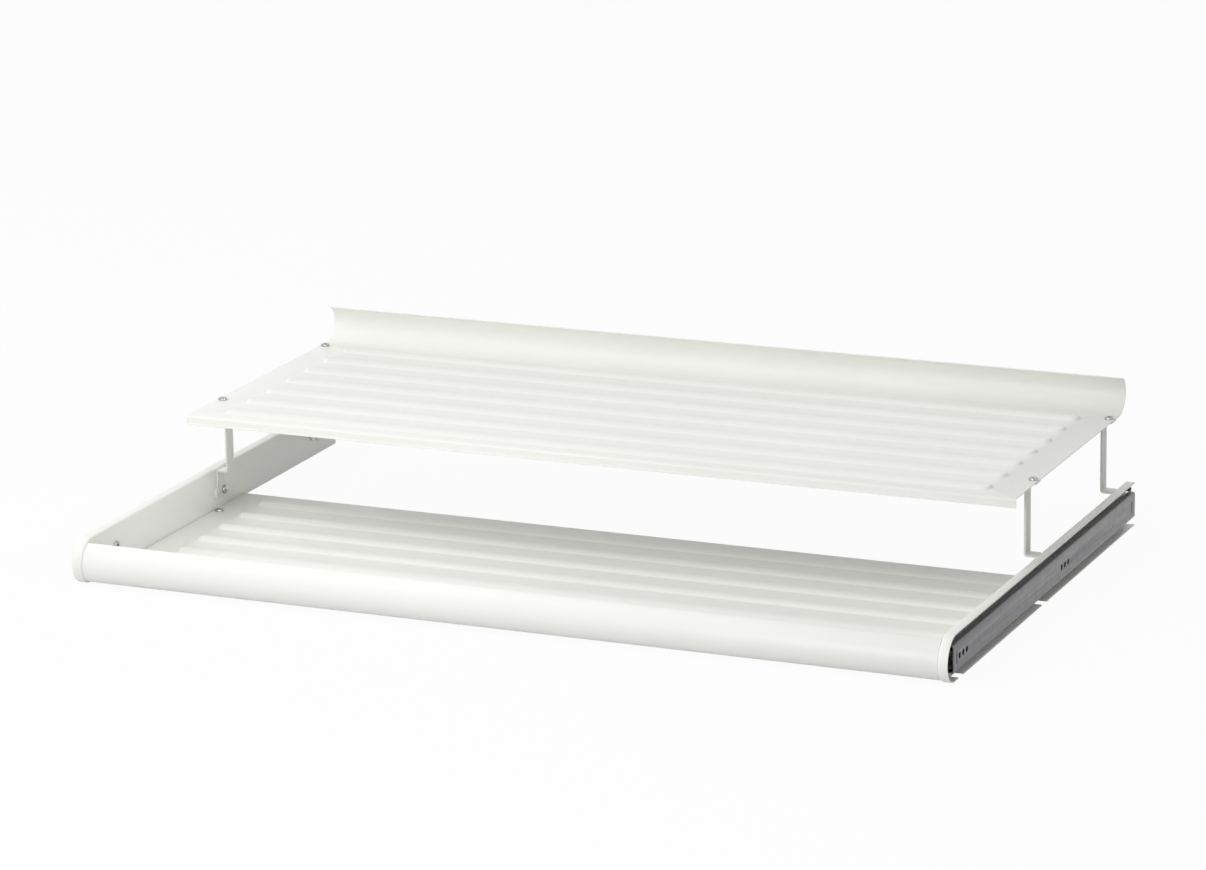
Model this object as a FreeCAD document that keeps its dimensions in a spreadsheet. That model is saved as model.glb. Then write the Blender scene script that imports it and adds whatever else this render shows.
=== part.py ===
"""Pull-out shoe rack for a wardrobe frame, as a parametric assembly.

A pressed steel tray hangs between two ball-bearing slides. Two side panels, a rounded
front rail and a ribbed lower shelf make the tray, and four bent legs carry a ribbed
upper shelf above it. All lengths are millimetres and all angles are degrees.

Frame: X runs from left to right, Y from the front to the back, Z up. The origin lies
under the middle of the rack, on the plane of its lowest flanges.
"""
import FreeCAD, Part
import math
import os
import Sketcher

Vector = FreeCAD.Vector
Placement = FreeCAD.Placement
Rotation = FreeCAD.Rotation

# ---------------------------------------------------------------- driving dimensions
SIZES = {
    # the whole rack
    "rackWidth": 929.0,         # over the outer faces of the two slides
    "backstopOverhang": 4.1,    # how far the upper shelf stands out behind the side panels
    # side panels
    "panelPastRail": 3.6,       # from the rear end of the slides to the rear of the panels
    "panelHeight": 46.0,
    "panelWall": 1.2,
    "panelBend": 2.0,           # outer radius where the web turns into a flange
    "flangeWidth": 9.0,         # how far the flanges stand out from the web
    "noseRadius": 20.0,         # lower curve of the nose; the upper one fills the height
    "tabWidth": 12.0,           # tabs that turn in under the lower shelf
    "tabReach": 14.0,
    "notchWidth": 14.5,
    "frontTabAt": 38.5,
    "rearTabAt": 281.5,
    # front rail
    "railWall": 1.2,
    "railFlangeEnd": 46.0,
    "railEndGap": 0.3,
    "hemAngle": 63.0,           # where the upper curve of the rail ends, above level
    "hemLap": 12.0,             # sweep of the folded hem
    "hemWall": 2.6,
    # both shelves
    "shelfWall": 1.0,
    "shelfEndGap": 0.8,
    "ribWidth": 20.0,
    "ribRise": 2.0,
    "ribSlope": 50.0,
    "ribCount": 7,
    "ribEndMargin": 33.0,
    # lower shelf
    "lowerShelfFront": 24.0,
    "lowerShelfRear": 351.0,
    "lowerRibFront": 26.8,      # from the shelf's front edge to the first rib's middle
    "lowerRibRear": 30.2,       # from the last rib's middle to the shelf's rear edge
    # upper shelf
    "upperShelfTop": 120.0,
    "upperShelfFront": 229.0,
    "upperShelfEndGap": 1.7,
    "upperRibFront": 27.3,
    "upperRibRear": 25.7,       # from the last rib's middle to where the backstop starts
    "lipDrop": 9.5,
    "lipHem": 1.4,
    "lipBend": 3.0,
    "backstopRadius": 22.4,
    "backstopTopRadius": 16.8,
    "backstopTopSweep": 75.0,
    # legs
    "legWidth": 15.0,
    "legWall": 2.0,
    "legBend": 1.0,
    "legInset": 13.3,           # from the web's inner face to the middle of the strip
    "legBottom": 15.6,
    "legJogTop": 44.8,
    "legFront": 290.3,
    "legRearInset": 21.7,       # from the rear legs to where the backstop starts
    "legFootReach": 11.0,
    "beadWidth": 5.0,
    "beadDepth": 0.6,
    "beadSlope": 45.0,
    "beadStart": 54.0,
    "beadLength": 54.0,
    "lugReach": 4.0,
    "lugHeight": 10.4,
    "reliefWidth": 2.4,         # square hole beside the bend, above the lug
    # slides
    "slideThickness": 10.5,
    "slideHeight": 27.0,
    "slideTopInset": 9.0,       # from the top of the panels down to the top of the slides
    "slideWall": 1.2,
    "slideBend": 2.0,
    "cabinetRailFront": 13.7,
    "cabinetRailLength": 553.0,
    "drawerRailFront": 12.7,
    "drawerRailSetback": 2.0,   # from its rear end to that of the cabinet rail
    "ballDiameter": 4.0,
    "raceGap": 0.3,
    "ballInset": 5.6,           # ball centres, from the slide's outer face
    "lipAngle": 20.0,           # how far the cabinet rail's race curls below the balls
    "cupAngle": 65.0,           # how far the drawer rail's race curls up behind the balls
    "retainerWall": 0.5,
    "retainerGap": 0.3,
    "retainerReach": 7.2,
    "pocketGap": 0.15,
    "ballsPerRow": 5,
    "ballMargin": 8.0,
    "travel": 400.0,
    "stopGap": 0.3,
    "stopSlit": 1.6,
    "stopHeight": 12.0,
    "stopReach": 1.8,
    "frontStopInset": 7.5,      # the stops, from the ends of the cabinet rail
    "rearStopInset": 9.6,
    # holes for the screws that hold the slides in the wardrobe
    "mountHole": 6.3,
    "mountHoleStart": 30.3,
    "mountHolePitch": 10.0,
    "mountHoleCount": 3,
    "mountGroupSpacing": 300.0,
    # guide plugs that keep the back of the tray down on the slides
    "plugDiameter": 4.8,
    "plugReach": 6.5,
    "plugRivet": 3.0,
    "plugInset": 5.3,           # from the rear of the panels
    # screws
    "screwHead": 9.6,
    "screwHeadRise": 2.4,
    "screwShank": 4.0,
    "screwHoleGap": 0.1,
    "shelfScrewInset": 7.5,     # shelf screws, from the web's inner face
    "shelfScrewGrip": 5.0,
    "railScrewEnd": 7.5,        # tips of the drawer rail screws, from the slide's outer face
    "drawerScrewFront": 59.6,   # from the ends of the drawer rail
    "drawerScrewRear": 50.4,
    "legScrewHeight": 20.5,
    "legScrewInset": 13.7,      # from the front edge of the leg
}

doc = FreeCAD.newDocument("PullOutShoeRack")
sheet = doc.addObject("Spreadsheet::Sheet", "sizes")
for row, (name, value) in enumerate(SIZES.items(), start=1):
    sheet.set("A%d" % row, name)
    sheet.set("B%d" % row, str(value))
    sheet.setAlias("B%d" % row, name)
doc.recompute()


class Size:
    """A number together with the spreadsheet formula that gives it."""

    def __init__(self, value, formula):
        self.value = float(value)
        self.formula = formula

    def __add__(self, other):
        other = asSize(other)
        return Size(self.value + other.value, "(%s + %s)" % (self.formula, other.formula))

    def __sub__(self, other):
        other = asSize(other)
        return Size(self.value - other.value, "(%s - %s)" % (self.formula, other.formula))

    def __mul__(self, other):
        other = asSize(other)
        return Size(self.value * other.value, "(%s * %s)" % (self.formula, other.formula))

    def __truediv__(self, other):
        other = asSize(other)
        return Size(self.value / other.value, "(%s / %s)" % (self.formula, other.formula))

    def __neg__(self):
        return Size(-self.value, "(0 - %s)" % self.formula)


def asSize(number):
    """A plain number as a Size."""
    if isinstance(number, Size):
        return number
    return Size(number, "%.6f" % number)


def size(name):
    """The Size of one cell of the spreadsheet."""
    return Size(SIZES[name], "sizes." + name)


def cosine(angle):
    """Cosine of a Size in degrees."""
    return Size(math.cos(math.radians(angle.value)), "cos(%s * 1 deg)" % angle.formula)


def sine(angle):
    """Sine of a Size in degrees."""
    return Size(math.sin(math.radians(angle.value)), "sin(%s * 1 deg)" % angle.formula)


def polar(centre, radius, angle):
    """The point at a radius and an angle about a centre."""
    angle = asSize(angle)
    return (centre[0] + radius * cosine(angle), centre[1] + radius * sine(angle))


# ---------------------------------------------------------------- shared levels
# distances behind the front of the rack
cabinetRailRear = size("cabinetRailFront") + size("cabinetRailLength")
drawerRailRear = cabinetRailRear - size("drawerRailSetback")
panelLength = cabinetRailRear + size("panelPastRail")
rackDepth = panelLength + size("backstopOverhang")
backstopStart = rackDepth - size("backstopRadius")
frontStop = size("cabinetRailFront") + size("frontStopInset")
rearStop = cabinetRailRear - size("rearStopInset")
plugAt = panelLength - size("plugInset")
legFronts = (size("legFront"), backstopStart - size("legRearInset"))
drawerScrews = (size("drawerRailFront") + size("drawerScrewFront"),
                drawerRailRear - size("drawerScrewRear"))

# places in the frame
halfWidth = size("rackWidth") / 2
frontY = -(rackDepth / 2)
slideOuter = -halfWidth                                     # left slide, outer face
webOuter = slideOuter + size("slideThickness")              # left panel, outer face of its web
webInner = webOuter + size("panelWall")
flangeEdge = webOuter - size("flangeWidth")
panelRear = frontY + panelLength
railSeat = size("panelWall")                                # top of the front tabs
shelfSeat = railSeat + size("railWall")                     # underside of the lower shelf
lowerShelfTop = shelfSeat + size("shelfWall")
upperShelfUnder = size("upperShelfTop") - size("shelfWall")
slideTop = size("panelHeight") - size("slideTopInset")
slideCentre = slideTop - size("slideHeight") / 2
plugHeight = slideTop + size("stopGap") + size("plugDiameter") / 2
screwHole = size("screwShank") / 2 + size("screwHoleGap")
shelfScrewX = webInner + size("shelfScrewInset")

overrun = asSize(1)                                         # how far a cut runs past a free edge
samePlace = 1e-4
octagonStep = asSize(45)                                    # from corner to corner of an octagon


def alongY(distance):
    """Y of a point that lies a distance behind the front of the rack."""
    return frontY + distance


# ---------------------------------------------------------------- drawing helpers
def newBody(label):
    """A PartDesign body, named after its node."""
    body = doc.addObject("PartDesign::Body", label)
    body.Label = label
    return body


def datum(body, role):
    """One of a body's own origin planes or axes."""
    return [item for item in body.Origin.OriginFeatures if item.Role == role][0]


def newSketch(body, role, offset):
    """A sketch on an origin plane of the body, moved along the plane's normal."""
    sketch = body.newObject("Sketcher::SketchObject", body.Label + "_sketch")
    sketch.AttachmentSupport = [(datum(body, role), "")]
    sketch.MapMode = "FlatFace"
    sketch.AttachmentOffset = Placement(Vector(0, 0, offset.value), Rotation())
    sketch.setExpression("AttachmentOffset.Base.z", offset.formula)
    return sketch


def sideSketch(body, atX):
    """A sketch of Y against Z, seen along X."""
    return newSketch(body, "YZ_Plane", asSize(atX))


def frontSketch(body, atY):
    """A sketch of X against Z; the normal of this plane points to the front."""
    return newSketch(body, "XZ_Plane", -asSize(atY))


def topSketch(body, atZ):
    """A sketch of X against Y, seen from above."""
    return newSketch(body, "XY_Plane", asSize(atZ))


def pin(sketch, edge, end, across, up):
    """Holds one point of a sketch at two spreadsheet formulas."""
    for kind, length in (("DistanceX", across), ("DistanceY", up)):
        index = sketch.addConstraint(Sketcher.Constraint(kind, -1, 1, edge, end, length.value))
        sketch.setExpression("Constraints[%d]" % index, length.formula)


def arcBetween(start, end, radius):
    """The shorter arc from start to end; a negative radius turns it clockwise."""
    ax, ay = start[0].value, start[1].value
    bx, by = end[0].value, end[1].value
    span = math.hypot(bx - ax, by - ay)
    rise = math.sqrt(max(radius.value ** 2 - span ** 2 / 4, 0.0))
    side = math.copysign(1.0, radius.value)
    cx = (ax + bx) / 2 - side * rise * (by - ay) / span
    cy = (ay + by) / 2 + side * rise * (bx - ax) / span
    first, last = (start, end) if side > 0 else (end, start)
    startAngle = math.atan2(first[1].value - cy, first[0].value - cx)
    endAngle = math.atan2(last[1].value - cy, last[0].value - cx)
    if endAngle < startAngle:
        endAngle += 2 * math.pi
    circle = Part.Circle(Vector(cx, cy, 0), Vector(0, 0, 1), abs(radius.value))
    return Part.ArcOfCircle(circle, startAngle, endAngle)


def outline(sketch, corners):
    """Draws a closed outline.

    A corner is (across, up) where a straight edge arrives, or (across, up, radius) where
    an arc does. A positive radius turns counterclockwise and a negative one clockwise.
    """
    corners = [tuple(asSize(number) for number in corner) for corner in corners]
    ends = []
    for index, corner in enumerate(corners):
        before = corners[index - 1]
        if len(corner) == 3:
            edge = sketch.addGeometry(arcBetween(before, corner, corner[2]))
            length = corner[2] if corner[2].value > 0 else -corner[2]
            radius = sketch.addConstraint(Sketcher.Constraint("Radius", edge, length.value))
            sketch.setExpression("Constraints[%d]" % radius, length.formula)
            ends.append((edge, 1, 2) if corner[2].value > 0 else (edge, 2, 1))
        else:
            start = Vector(before[0].value, before[1].value, 0)
            end = Vector(corner[0].value, corner[1].value, 0)
            ends.append((sketch.addGeometry(Part.LineSegment(start, end)), 1, 2))
    for index, (edge, _, last) in enumerate(ends):
        following, first, _ = ends[(index + 1) % len(ends)]
        sketch.addConstraint(Sketcher.Constraint("Coincident", edge, last, following, first))
        pin(sketch, edge, last, corners[index][0], corners[index][1])


def circle(sketch, across, up, radius):
    """Draws one circle."""
    across, up, radius = asSize(across), asSize(up), asSize(radius)
    centre = Vector(across.value, up.value, 0)
    edge = sketch.addGeometry(Part.Circle(centre, Vector(0, 0, 1), radius.value))
    pin(sketch, edge, 3, across, up)
    index = sketch.addConstraint(Sketcher.Constraint("Radius", edge, radius.value))
    sketch.setExpression("Constraints[%d]" % index, radius.formula)


def octagon(sketch, across, up, radius):
    """Draws an eight-sided outline inside a circle, for small pieces that are out of sight."""
    outline(sketch, [polar((asSize(across), asSize(up)), radius, octagonStep * side)
                     for side in range(8)])


def rectangle(sketch, left, right, bottom, top):
    """Draws a rectangle between four limits."""
    outline(sketch, [(left, bottom), (right, bottom), (right, top), (left, top)])


def slot(sketch, left, right, middle, radius):
    """Draws a long slot with round ends."""
    outline(sketch, [
        (left + radius, middle - radius, radius),
        (right - radius, middle - radius),
        (right, middle, radius),
        (right - radius, middle + radius, radius),
        (left + radius, middle + radius),
        (left, middle, radius),
    ])


def angledSlot(sketch, left, right, middle, radius):
    """Draws a long slot whose ends have three flats in place of a half circle."""
    flat = radius * math.tan(math.pi / 8)
    outline(sketch, [
        (left + radius, middle - radius),
        (right - radius, middle - radius),
        (right, middle - flat),
        (right, middle + flat),
        (right - radius, middle + radius),
        (left + radius, middle + radius),
        (left, middle + flat),
        (left, middle - flat),
    ])


def bentStrip(sketch, path, wall, bend):
    """Draws the edge view of a strip of sheet that is bent square along a path.

    The path runs down the middle of the sheet, level or upright between its points, and
    bend is the inner radius of each bend.
    """
    path = [tuple(asSize(number) for number in point) for point in path]
    headings = []
    for start, end in zip(path, path[1:]):
        dx = end[0].value - start[0].value
        dy = end[1].value - start[1].value
        headings.append((int(round(dx / math.hypot(dx, dy))), int(round(dy / math.hypot(dx, dy)))))

    def side(hand):
        """One side of the strip, from its start to its end; hand is 1 on the left."""
        half = wall / 2 * hand
        first = headings[0]
        last = headings[-1]
        points = [(path[0][0] - half * first[1], path[0][1] + half * first[0])]
        for index in range(1, len(path) - 1):
            arrive, leave = headings[index - 1], headings[index]
            turn = arrive[0] * leave[1] - arrive[1] * leave[0]
            radius = bend if turn == hand else bend + wall
            cornerX = path[index][0] - half * (arrive[1] + leave[1])
            cornerY = path[index][1] + half * (arrive[0] + leave[0])
            points.append((cornerX - radius * arrive[0], cornerY - radius * arrive[1]))
            points.append((cornerX + radius * leave[0], cornerY + radius * leave[1],
                           radius * turn))
        points.append((path[-1][0] - half * last[1], path[-1][1] + half * last[0]))
        return points

    left = side(1)
    right = side(-1)
    backward = [right[-1][:2]]
    for index in range(len(right) - 1, 0, -1):
        arriving = right[index]
        reached = right[index - 1][:2]
        backward.append(reached + (-arriving[2],) if len(arriving) == 3 else reached)
    outline(sketch, left + backward)


# ---------------------------------------------------------------- feature helpers
def bodyVolume(body):
    """Volume of a body, or 0 before its first feature."""
    return 0.0 if body.Shape.isNull() else body.Shape.Volume


def pad(body, sketch, length, against=False, slope=None):
    """Adds material along the sketch's normal, or against it."""
    length = asSize(length)
    before = bodyVolume(body)
    feature = body.newObject("PartDesign::Pad", body.Label + "_pad")
    feature.Profile = sketch
    feature.Length = length.value
    feature.setExpression("Length", length.formula)
    feature.Reversed = against
    if slope is not None:
        feature.setExpression("TaperAngle", (-slope).formula)
    doc.recompute()
    if bodyVolume(body) <= before:
        raise RuntimeError("a pad on %s adds nothing" % body.Label)
    return feature


def pocket(body, sketch, length, alongNormal=True, slope=None):
    """Cuts material from the sketch's plane along its normal, or against it."""
    length = asSize(length)
    before = bodyVolume(body)
    feature = body.newObject("PartDesign::Pocket", body.Label + "_pocket")
    feature.Profile = sketch
    feature.Length = length.value
    feature.setExpression("Length", length.formula)
    feature.Reversed = alongNormal
    if slope is not None:
        feature.setExpression("TaperAngle", (-slope).formula)
    doc.recompute()
    if bodyVolume(body) >= before:
        raise RuntimeError("a pocket on %s cuts nothing" % body.Label)
    return feature


def repeat(body, features, role, count, reach):
    """Spreads copies of features evenly over a reach along one of the body's axes."""
    feature = body.newObject("PartDesign::LinearPattern", body.Label + "_pattern")
    feature.Originals = features
    feature.Direction = (datum(body, role), [""])
    feature.setExpression("Occurrences", count.formula)
    feature.setExpression("Length", reach.formula)
    body.Tip = feature
    doc.recompute()
    return feature


def treatEdges(body, kind, measure, amount, wanted):
    """Puts a Fillet or a Chamfer on the edges of a body that pass a test."""
    base = body.Tip
    names = []
    for index, edge in enumerate(body.Shape.Edges, start=1):
        if wanted(edge):
            names.append("Edge%d" % index)
    feature = body.newObject("PartDesign::" + kind, body.Label + "_edges")
    feature.Base = (base, names)
    feature.setExpression(measure, amount.formula)
    doc.recompute()
    return feature


def mirrored(source, label):
    """The right-hand twin of a left-hand piece."""
    twin = doc.addObject("Part::Mirroring", label)
    twin.Label = label
    twin.Source = source
    twin.Normal = Vector(1, 0, 0)
    twin.Base = Vector(0, 0, 0)
    return twin


def near(first, second):
    """True for two lengths that are the same."""
    return abs(first - second) < samePlace


# ---------------------------------------------------------------- side panels
def sidePanel(label):
    """Channel of sheet steel: a flat web, with flanges turned out along its rounded edge."""
    body = newBody(label)
    upperRadius = size("panelHeight") - size("noseRadius")
    wall = size("panelWall")
    shell = sideSketch(body, flangeEdge)
    outline(shell, [
        (panelRear, size("panelHeight")),
        (alongY(upperRadius), size("panelHeight")),
        (frontY, size("noseRadius"), upperRadius),
        (alongY(size("noseRadius")), 0, size("noseRadius")),
        (panelRear, 0),
    ])
    pad(body, shell, webInner - flangeEdge)
    treatEdges(body, "Fillet", "Radius", size("panelBend"),
               lambda edge: near(edge.BoundBox.XMin, webInner.value)
               and not near(edge.BoundBox.YMin, panelRear.value))

    hollow = sideSketch(body, flangeEdge)
    outline(hollow, [
        (panelRear + overrun, size("panelHeight") - wall),
        (alongY(upperRadius), size("panelHeight") - wall),
        (frontY + wall, size("noseRadius"), upperRadius - wall),
        (alongY(size("noseRadius")), wall, size("noseRadius") - wall),
        (panelRear + overrun, wall),
    ])
    pocket(body, hollow, size("flangeWidth"))

    # the lower flange is cut away where a tab turns in under the shelf
    halfNotch = size("notchWidth") / 2
    notches = topSketch(body, 0)
    for middle in (size("frontTabAt"), size("rearTabAt")):
        rectangle(notches, flangeEdge - overrun, webOuter,
                  alongY(middle - halfNotch), alongY(middle + halfNotch))
    pocket(body, notches, wall)

    halfTab = size("tabWidth") / 2
    tabs = ((size("frontTabAt"), railSeat - wall), (size("rearTabAt"), shelfSeat - wall))
    for middle, level in tabs:
        tab = topSketch(body, level)
        rectangle(tab, webOuter, webInner + size("tabReach"),
                  alongY(middle - halfTab), alongY(middle + halfTab))
        pad(body, tab, wall)

    tabHoles = topSketch(body, 0)
    for middle in (size("frontTabAt"), size("rearTabAt")):
        circle(tabHoles, shelfScrewX, alongY(middle), screwHole)
    pocket(body, tabHoles, shelfSeat)

    webHoles = sideSketch(body, webOuter)
    for distance in drawerScrews:
        circle(webHoles, alongY(distance), slideCentre, screwHole)
    for distance in legFronts:
        circle(webHoles, alongY(distance + size("legScrewInset")), size("legScrewHeight"), screwHole)
    circle(webHoles, alongY(plugAt), plugHeight,
           size("plugRivet") / 2 + size("screwHoleGap"))
    pocket(body, webHoles, wall)
    return body


# ---------------------------------------------------------------- front rail
def frontRail(label):
    """Rounded front of the tray, one bent sheet with a folded hem along its upper edge."""
    body = newBody(label)
    wall = size("railWall")
    reach = size("panelWall")                               # lies this far inside the panel's nose
    upperRadius = size("panelHeight") - size("noseRadius") - reach
    lowerRadius = size("noseRadius") - reach
    upper = (alongY(upperRadius + reach), size("noseRadius"))
    endAngle = -size("hemAngle") + 180
    lapAngle = endAngle + size("hemLap")
    hemRadius = size("hemWall") / 2
    tip = polar(upper, upperRadius - hemRadius, endAngle)
    tipEnd = (tip[0] + hemRadius * sine(endAngle), tip[1] - hemRadius * cosine(endAngle))
    foldRadius = upperRadius - size("hemWall")
    end = webInner + size("railEndGap")
    profile = sideSketch(body, end)
    outline(profile, [
        (frontY + reach, size("noseRadius"), upperRadius),
        (alongY(size("noseRadius")), reach, lowerRadius),
        (alongY(size("railFlangeEnd")), reach),
        (alongY(size("railFlangeEnd")), reach + wall),
        (alongY(size("noseRadius")), reach + wall),
        (frontY + reach + wall, size("noseRadius"), -(lowerRadius - wall)),
        polar(upper, upperRadius - wall, lapAngle) + (-(upperRadius - wall),),
        polar(upper, foldRadius, lapAngle),
        polar(upper, foldRadius, endAngle) + (-foldRadius,),
        tipEnd + (hemRadius,),
        polar(upper, upperRadius, endAngle) + (hemRadius,),
    ])
    pad(body, profile, -end * 2)

    holes = topSketch(body, reach)
    circle(holes, shelfScrewX, alongY(size("frontTabAt")), screwHole)
    circle(holes, -shelfScrewX, alongY(size("frontTabAt")), screwHole)
    pocket(body, holes, wall)
    return body


# ---------------------------------------------------------------- shelves
def addRibs(body, top, left, right, first, last):
    """Presses a row of long ribs up out of a sheet, hollow from below."""
    radius = size("ribWidth") / 2
    start = alongY(first)
    ridge = topSketch(body, top)
    slot(ridge, left, right, start, radius)
    raised = pad(body, ridge, size("ribRise"), slope=size("ribSlope"))
    under = topSketch(body, top - size("shelfWall"))
    angledSlot(under, left, right, start, radius)
    hollow = pocket(body, under, size("ribRise"), slope=size("ribSlope"))
    repeat(body, [raised, hollow], "Y_Axis", size("ribCount"), last - first)


def lowerShelf(label):
    """Ribbed floor of the tray, a flat sheet with ribs."""
    body = newBody(label)
    edge = webInner + size("shelfEndGap")
    sheetOutline = topSketch(body, shelfSeat)
    rectangle(sheetOutline, edge, -edge,
              alongY(size("lowerShelfFront")), alongY(size("lowerShelfRear")))
    pad(body, sheetOutline, size("shelfWall"))
    ribEnd = edge + size("ribEndMargin")
    addRibs(body, lowerShelfTop, ribEnd, -ribEnd,
            size("lowerShelfFront") + size("lowerRibFront"),
            size("lowerShelfRear") - size("lowerRibRear"))
    holes = topSketch(body, shelfSeat)
    for middle in (size("frontTabAt"), size("rearTabAt")):
        circle(holes, shelfScrewX, alongY(middle), screwHole)
        circle(holes, -shelfScrewX, alongY(middle), screwHole)
    pocket(body, holes, size("shelfWall"))
    return body


def upperShelf(label):
    """Ribbed upper shelf, with a lip turned down in front and a backstop curled up behind."""
    body = newBody(label)
    wall = size("shelfWall")
    top = size("upperShelfTop")
    front = alongY(size("upperShelfFront"))
    rear = alongY(rackDepth)
    bend = size("lipBend")
    low = top - size("lipDrop")
    lower = (rear - size("backstopRadius"), upperShelfUnder + size("backstopRadius"))
    upper = (rear - size("backstopTopRadius"), lower[1])
    sweep = size("backstopTopSweep")
    edge = webInner + size("upperShelfEndGap")
    profile = sideSketch(body, edge)
    outline(profile, [
        (front + bend, top, -bend),
        (lower[0], top),
        (rear - wall, lower[1], size("backstopRadius") - wall),
        polar(upper, size("backstopTopRadius") - wall, sweep) + (size("backstopTopRadius") - wall,),
        polar(upper, size("backstopTopRadius"), sweep),
        (rear, lower[1], -size("backstopTopRadius")),
        (lower[0], upperShelfUnder, -size("backstopRadius")),
        (front + bend, upperShelfUnder),
        (front + wall, top - bend, bend - wall),
        (front + wall, low),
        (front - size("lipHem"), low),
        (front - size("lipHem"), low + wall),
        (front, low + wall),
        (front, top - bend),
    ])
    pad(body, profile, -edge * 2)
    ribEnd = edge + size("ribEndMargin")
    addRibs(body, top, ribEnd, -ribEnd, size("upperShelfFront") + size("upperRibFront"),
            backstopStart - size("upperRibRear"))
    holes = topSketch(body, upperShelfUnder)
    for distance in legFronts:
        middle = alongY(distance + size("legWidth") / 2)
        circle(holes, shelfScrewX, middle, screwHole)
        circle(holes, -shelfScrewX, middle, screwHole)
    pocket(body, holes, wall)
    return body


# ---------------------------------------------------------------- legs
def leg(label, distance):
    """Bent strip with a foot under the upper shelf, a jog over the flange and a bead."""
    body = newBody(label)
    wall = size("legWall")
    width = size("legWidth")
    front = alongY(distance)
    lowX = webInner + wall / 2
    strutX = webInner + size("legInset")
    footZ = upperShelfUnder - wall / 2
    jogZ = size("legJogTop") - wall / 2
    profile = frontSketch(body, front)
    bentStrip(profile, [
        (lowX, size("legBottom")),
        (lowX, jogZ),
        (strutX, jogZ),
        (strutX, footZ),
        (strutX - size("legFootReach"), footZ),
    ], wall, size("legBend"))
    pad(body, profile, width, against=True)

    lug = frontSketch(body, front - size("lugReach"))
    rectangle(lug, webInner, webInner + wall,
              size("legBottom"), size("legBottom") + size("lugHeight"))
    pad(body, lug, size("lugReach"), against=True)

    # a bead along the strut, pressed inwards from its outer face
    outerFace = strutX - wall / 2
    middle = front + width / 2
    halfBead = size("beadWidth") / 2
    low = size("beadStart")
    high = size("beadStart") + size("beadLength")
    bead = sideSketch(body, outerFace + wall)
    rectangle(bead, middle - halfBead, middle + halfBead, low, high)
    pad(body, bead, size("beadDepth"), slope=size("beadSlope"))
    dent = sideSketch(body, outerFace)
    rectangle(dent, middle - halfBead, middle + halfBead, low, high)
    pocket(body, dent, size("beadDepth"), slope=size("beadSlope"))

    footHole = topSketch(body, upperShelfUnder - wall)
    circle(footHole, shelfScrewX, middle, screwHole)
    pocket(body, footHole, wall)

    sideHoles = sideSketch(body, webInner)
    circle(sideHoles, front + size("legScrewInset"), size("legScrewHeight"), screwHole)
    relief = size("reliefWidth")
    lugTop = size("legBottom") + size("lugHeight")
    rectangle(sideHoles, front + relief / 2, front + relief * 3 / 2,
              lugTop + relief / 2, lugTop + relief * 3 / 2)
    pocket(body, sideHoles, wall)
    return body


# ---------------------------------------------------------------- slides
ballX = slideOuter + size("ballInset")
ballRise = (size("slideHeight") / 2 - size("slideWall") - size("raceGap")
            - size("ballDiameter") / 2)
raceRadius = size("ballDiameter") / 2 + size("raceGap")


def mirroredOutline(upperHalf):
    """Corners of a profile that is the same above and below the slide's centre line.

    upperHalf runs from the outer surface on the centre line to the inner one, with its
    heights above the centre line.
    """
    centre = slideCentre
    corners = []
    for corner in upperHalf:
        corners.append((corner[0], centre + corner[1]) + tuple(corner[2:]))
    for index in range(len(upperHalf) - 1, -1, -1):
        reached = upperHalf[index]
        arc = ()
        if index + 1 < len(upperHalf) and len(upperHalf[index + 1]) == 3:
            arc = (upperHalf[index + 1][2],)
        corners.append((reached[0], centre - reached[1]) + arc)
    return corners


def cabinetRail(label):
    """Outer member of a slide: a channel whose edges curl round the balls."""
    body = newBody(label)
    wall = size("slideWall")
    bend = size("slideBend")
    half = size("slideHeight") / 2
    race = (ballX, ballRise)
    lip = -size("lipAngle")
    front = alongY(size("cabinetRailFront"))
    profile = frontSketch(body, front)
    outline(profile, mirroredOutline([
        (slideOuter, half - bend),
        (slideOuter + bend, half, -bend),
        (ballX, half),
        polar(race, raceRadius + wall, lip) + (-(raceRadius + wall),),
        polar(race, raceRadius, lip),
        (ballX, half - wall, raceRadius),
        (slideOuter + bend, half - wall),
        (slideOuter + wall, half - bend, bend - wall),
    ]))
    pad(body, profile, size("cabinetRailLength"), against=True)

    holes = sideSketch(body, slideOuter)
    circle(holes, alongY(size("mountHoleStart")), slideCentre, size("mountHole") / 2)
    hole = pocket(body, holes, wall)
    groupReach = size("mountHolePitch") * (size("mountHoleCount") - 1)
    repeat(body, [hole], "Y_Axis", size("mountHoleCount"), groupReach)
    rearHoles = sideSketch(body, slideOuter)
    circle(rearHoles, alongY(size("mountHoleStart") + size("mountGroupSpacing")),
           slideCentre, size("mountHole") / 2)
    rearHole = pocket(body, rearHoles, wall)
    repeat(body, [rearHole], "Y_Axis", size("mountHoleCount"), groupReach)

    # stops, cut and turned in from the web: one in front of its slit and one behind
    halfStop = size("stopHeight") / 2
    slits = sideSketch(body, slideOuter)
    first = alongY(frontStop)
    last = alongY(rearStop)
    bottom = slideCentre - halfStop
    top = slideCentre + halfStop
    rectangle(slits, first, first + size("stopSlit"), bottom, top)
    rectangle(slits, last - size("stopSlit"), last, bottom, top)
    pocket(body, slits, wall)
    stops = sideSketch(body, slideOuter + wall)
    rectangle(stops, first - wall, first, bottom, top)
    rectangle(stops, last, last + wall, bottom, top)
    pad(body, stops, size("stopReach"))
    return body


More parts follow.
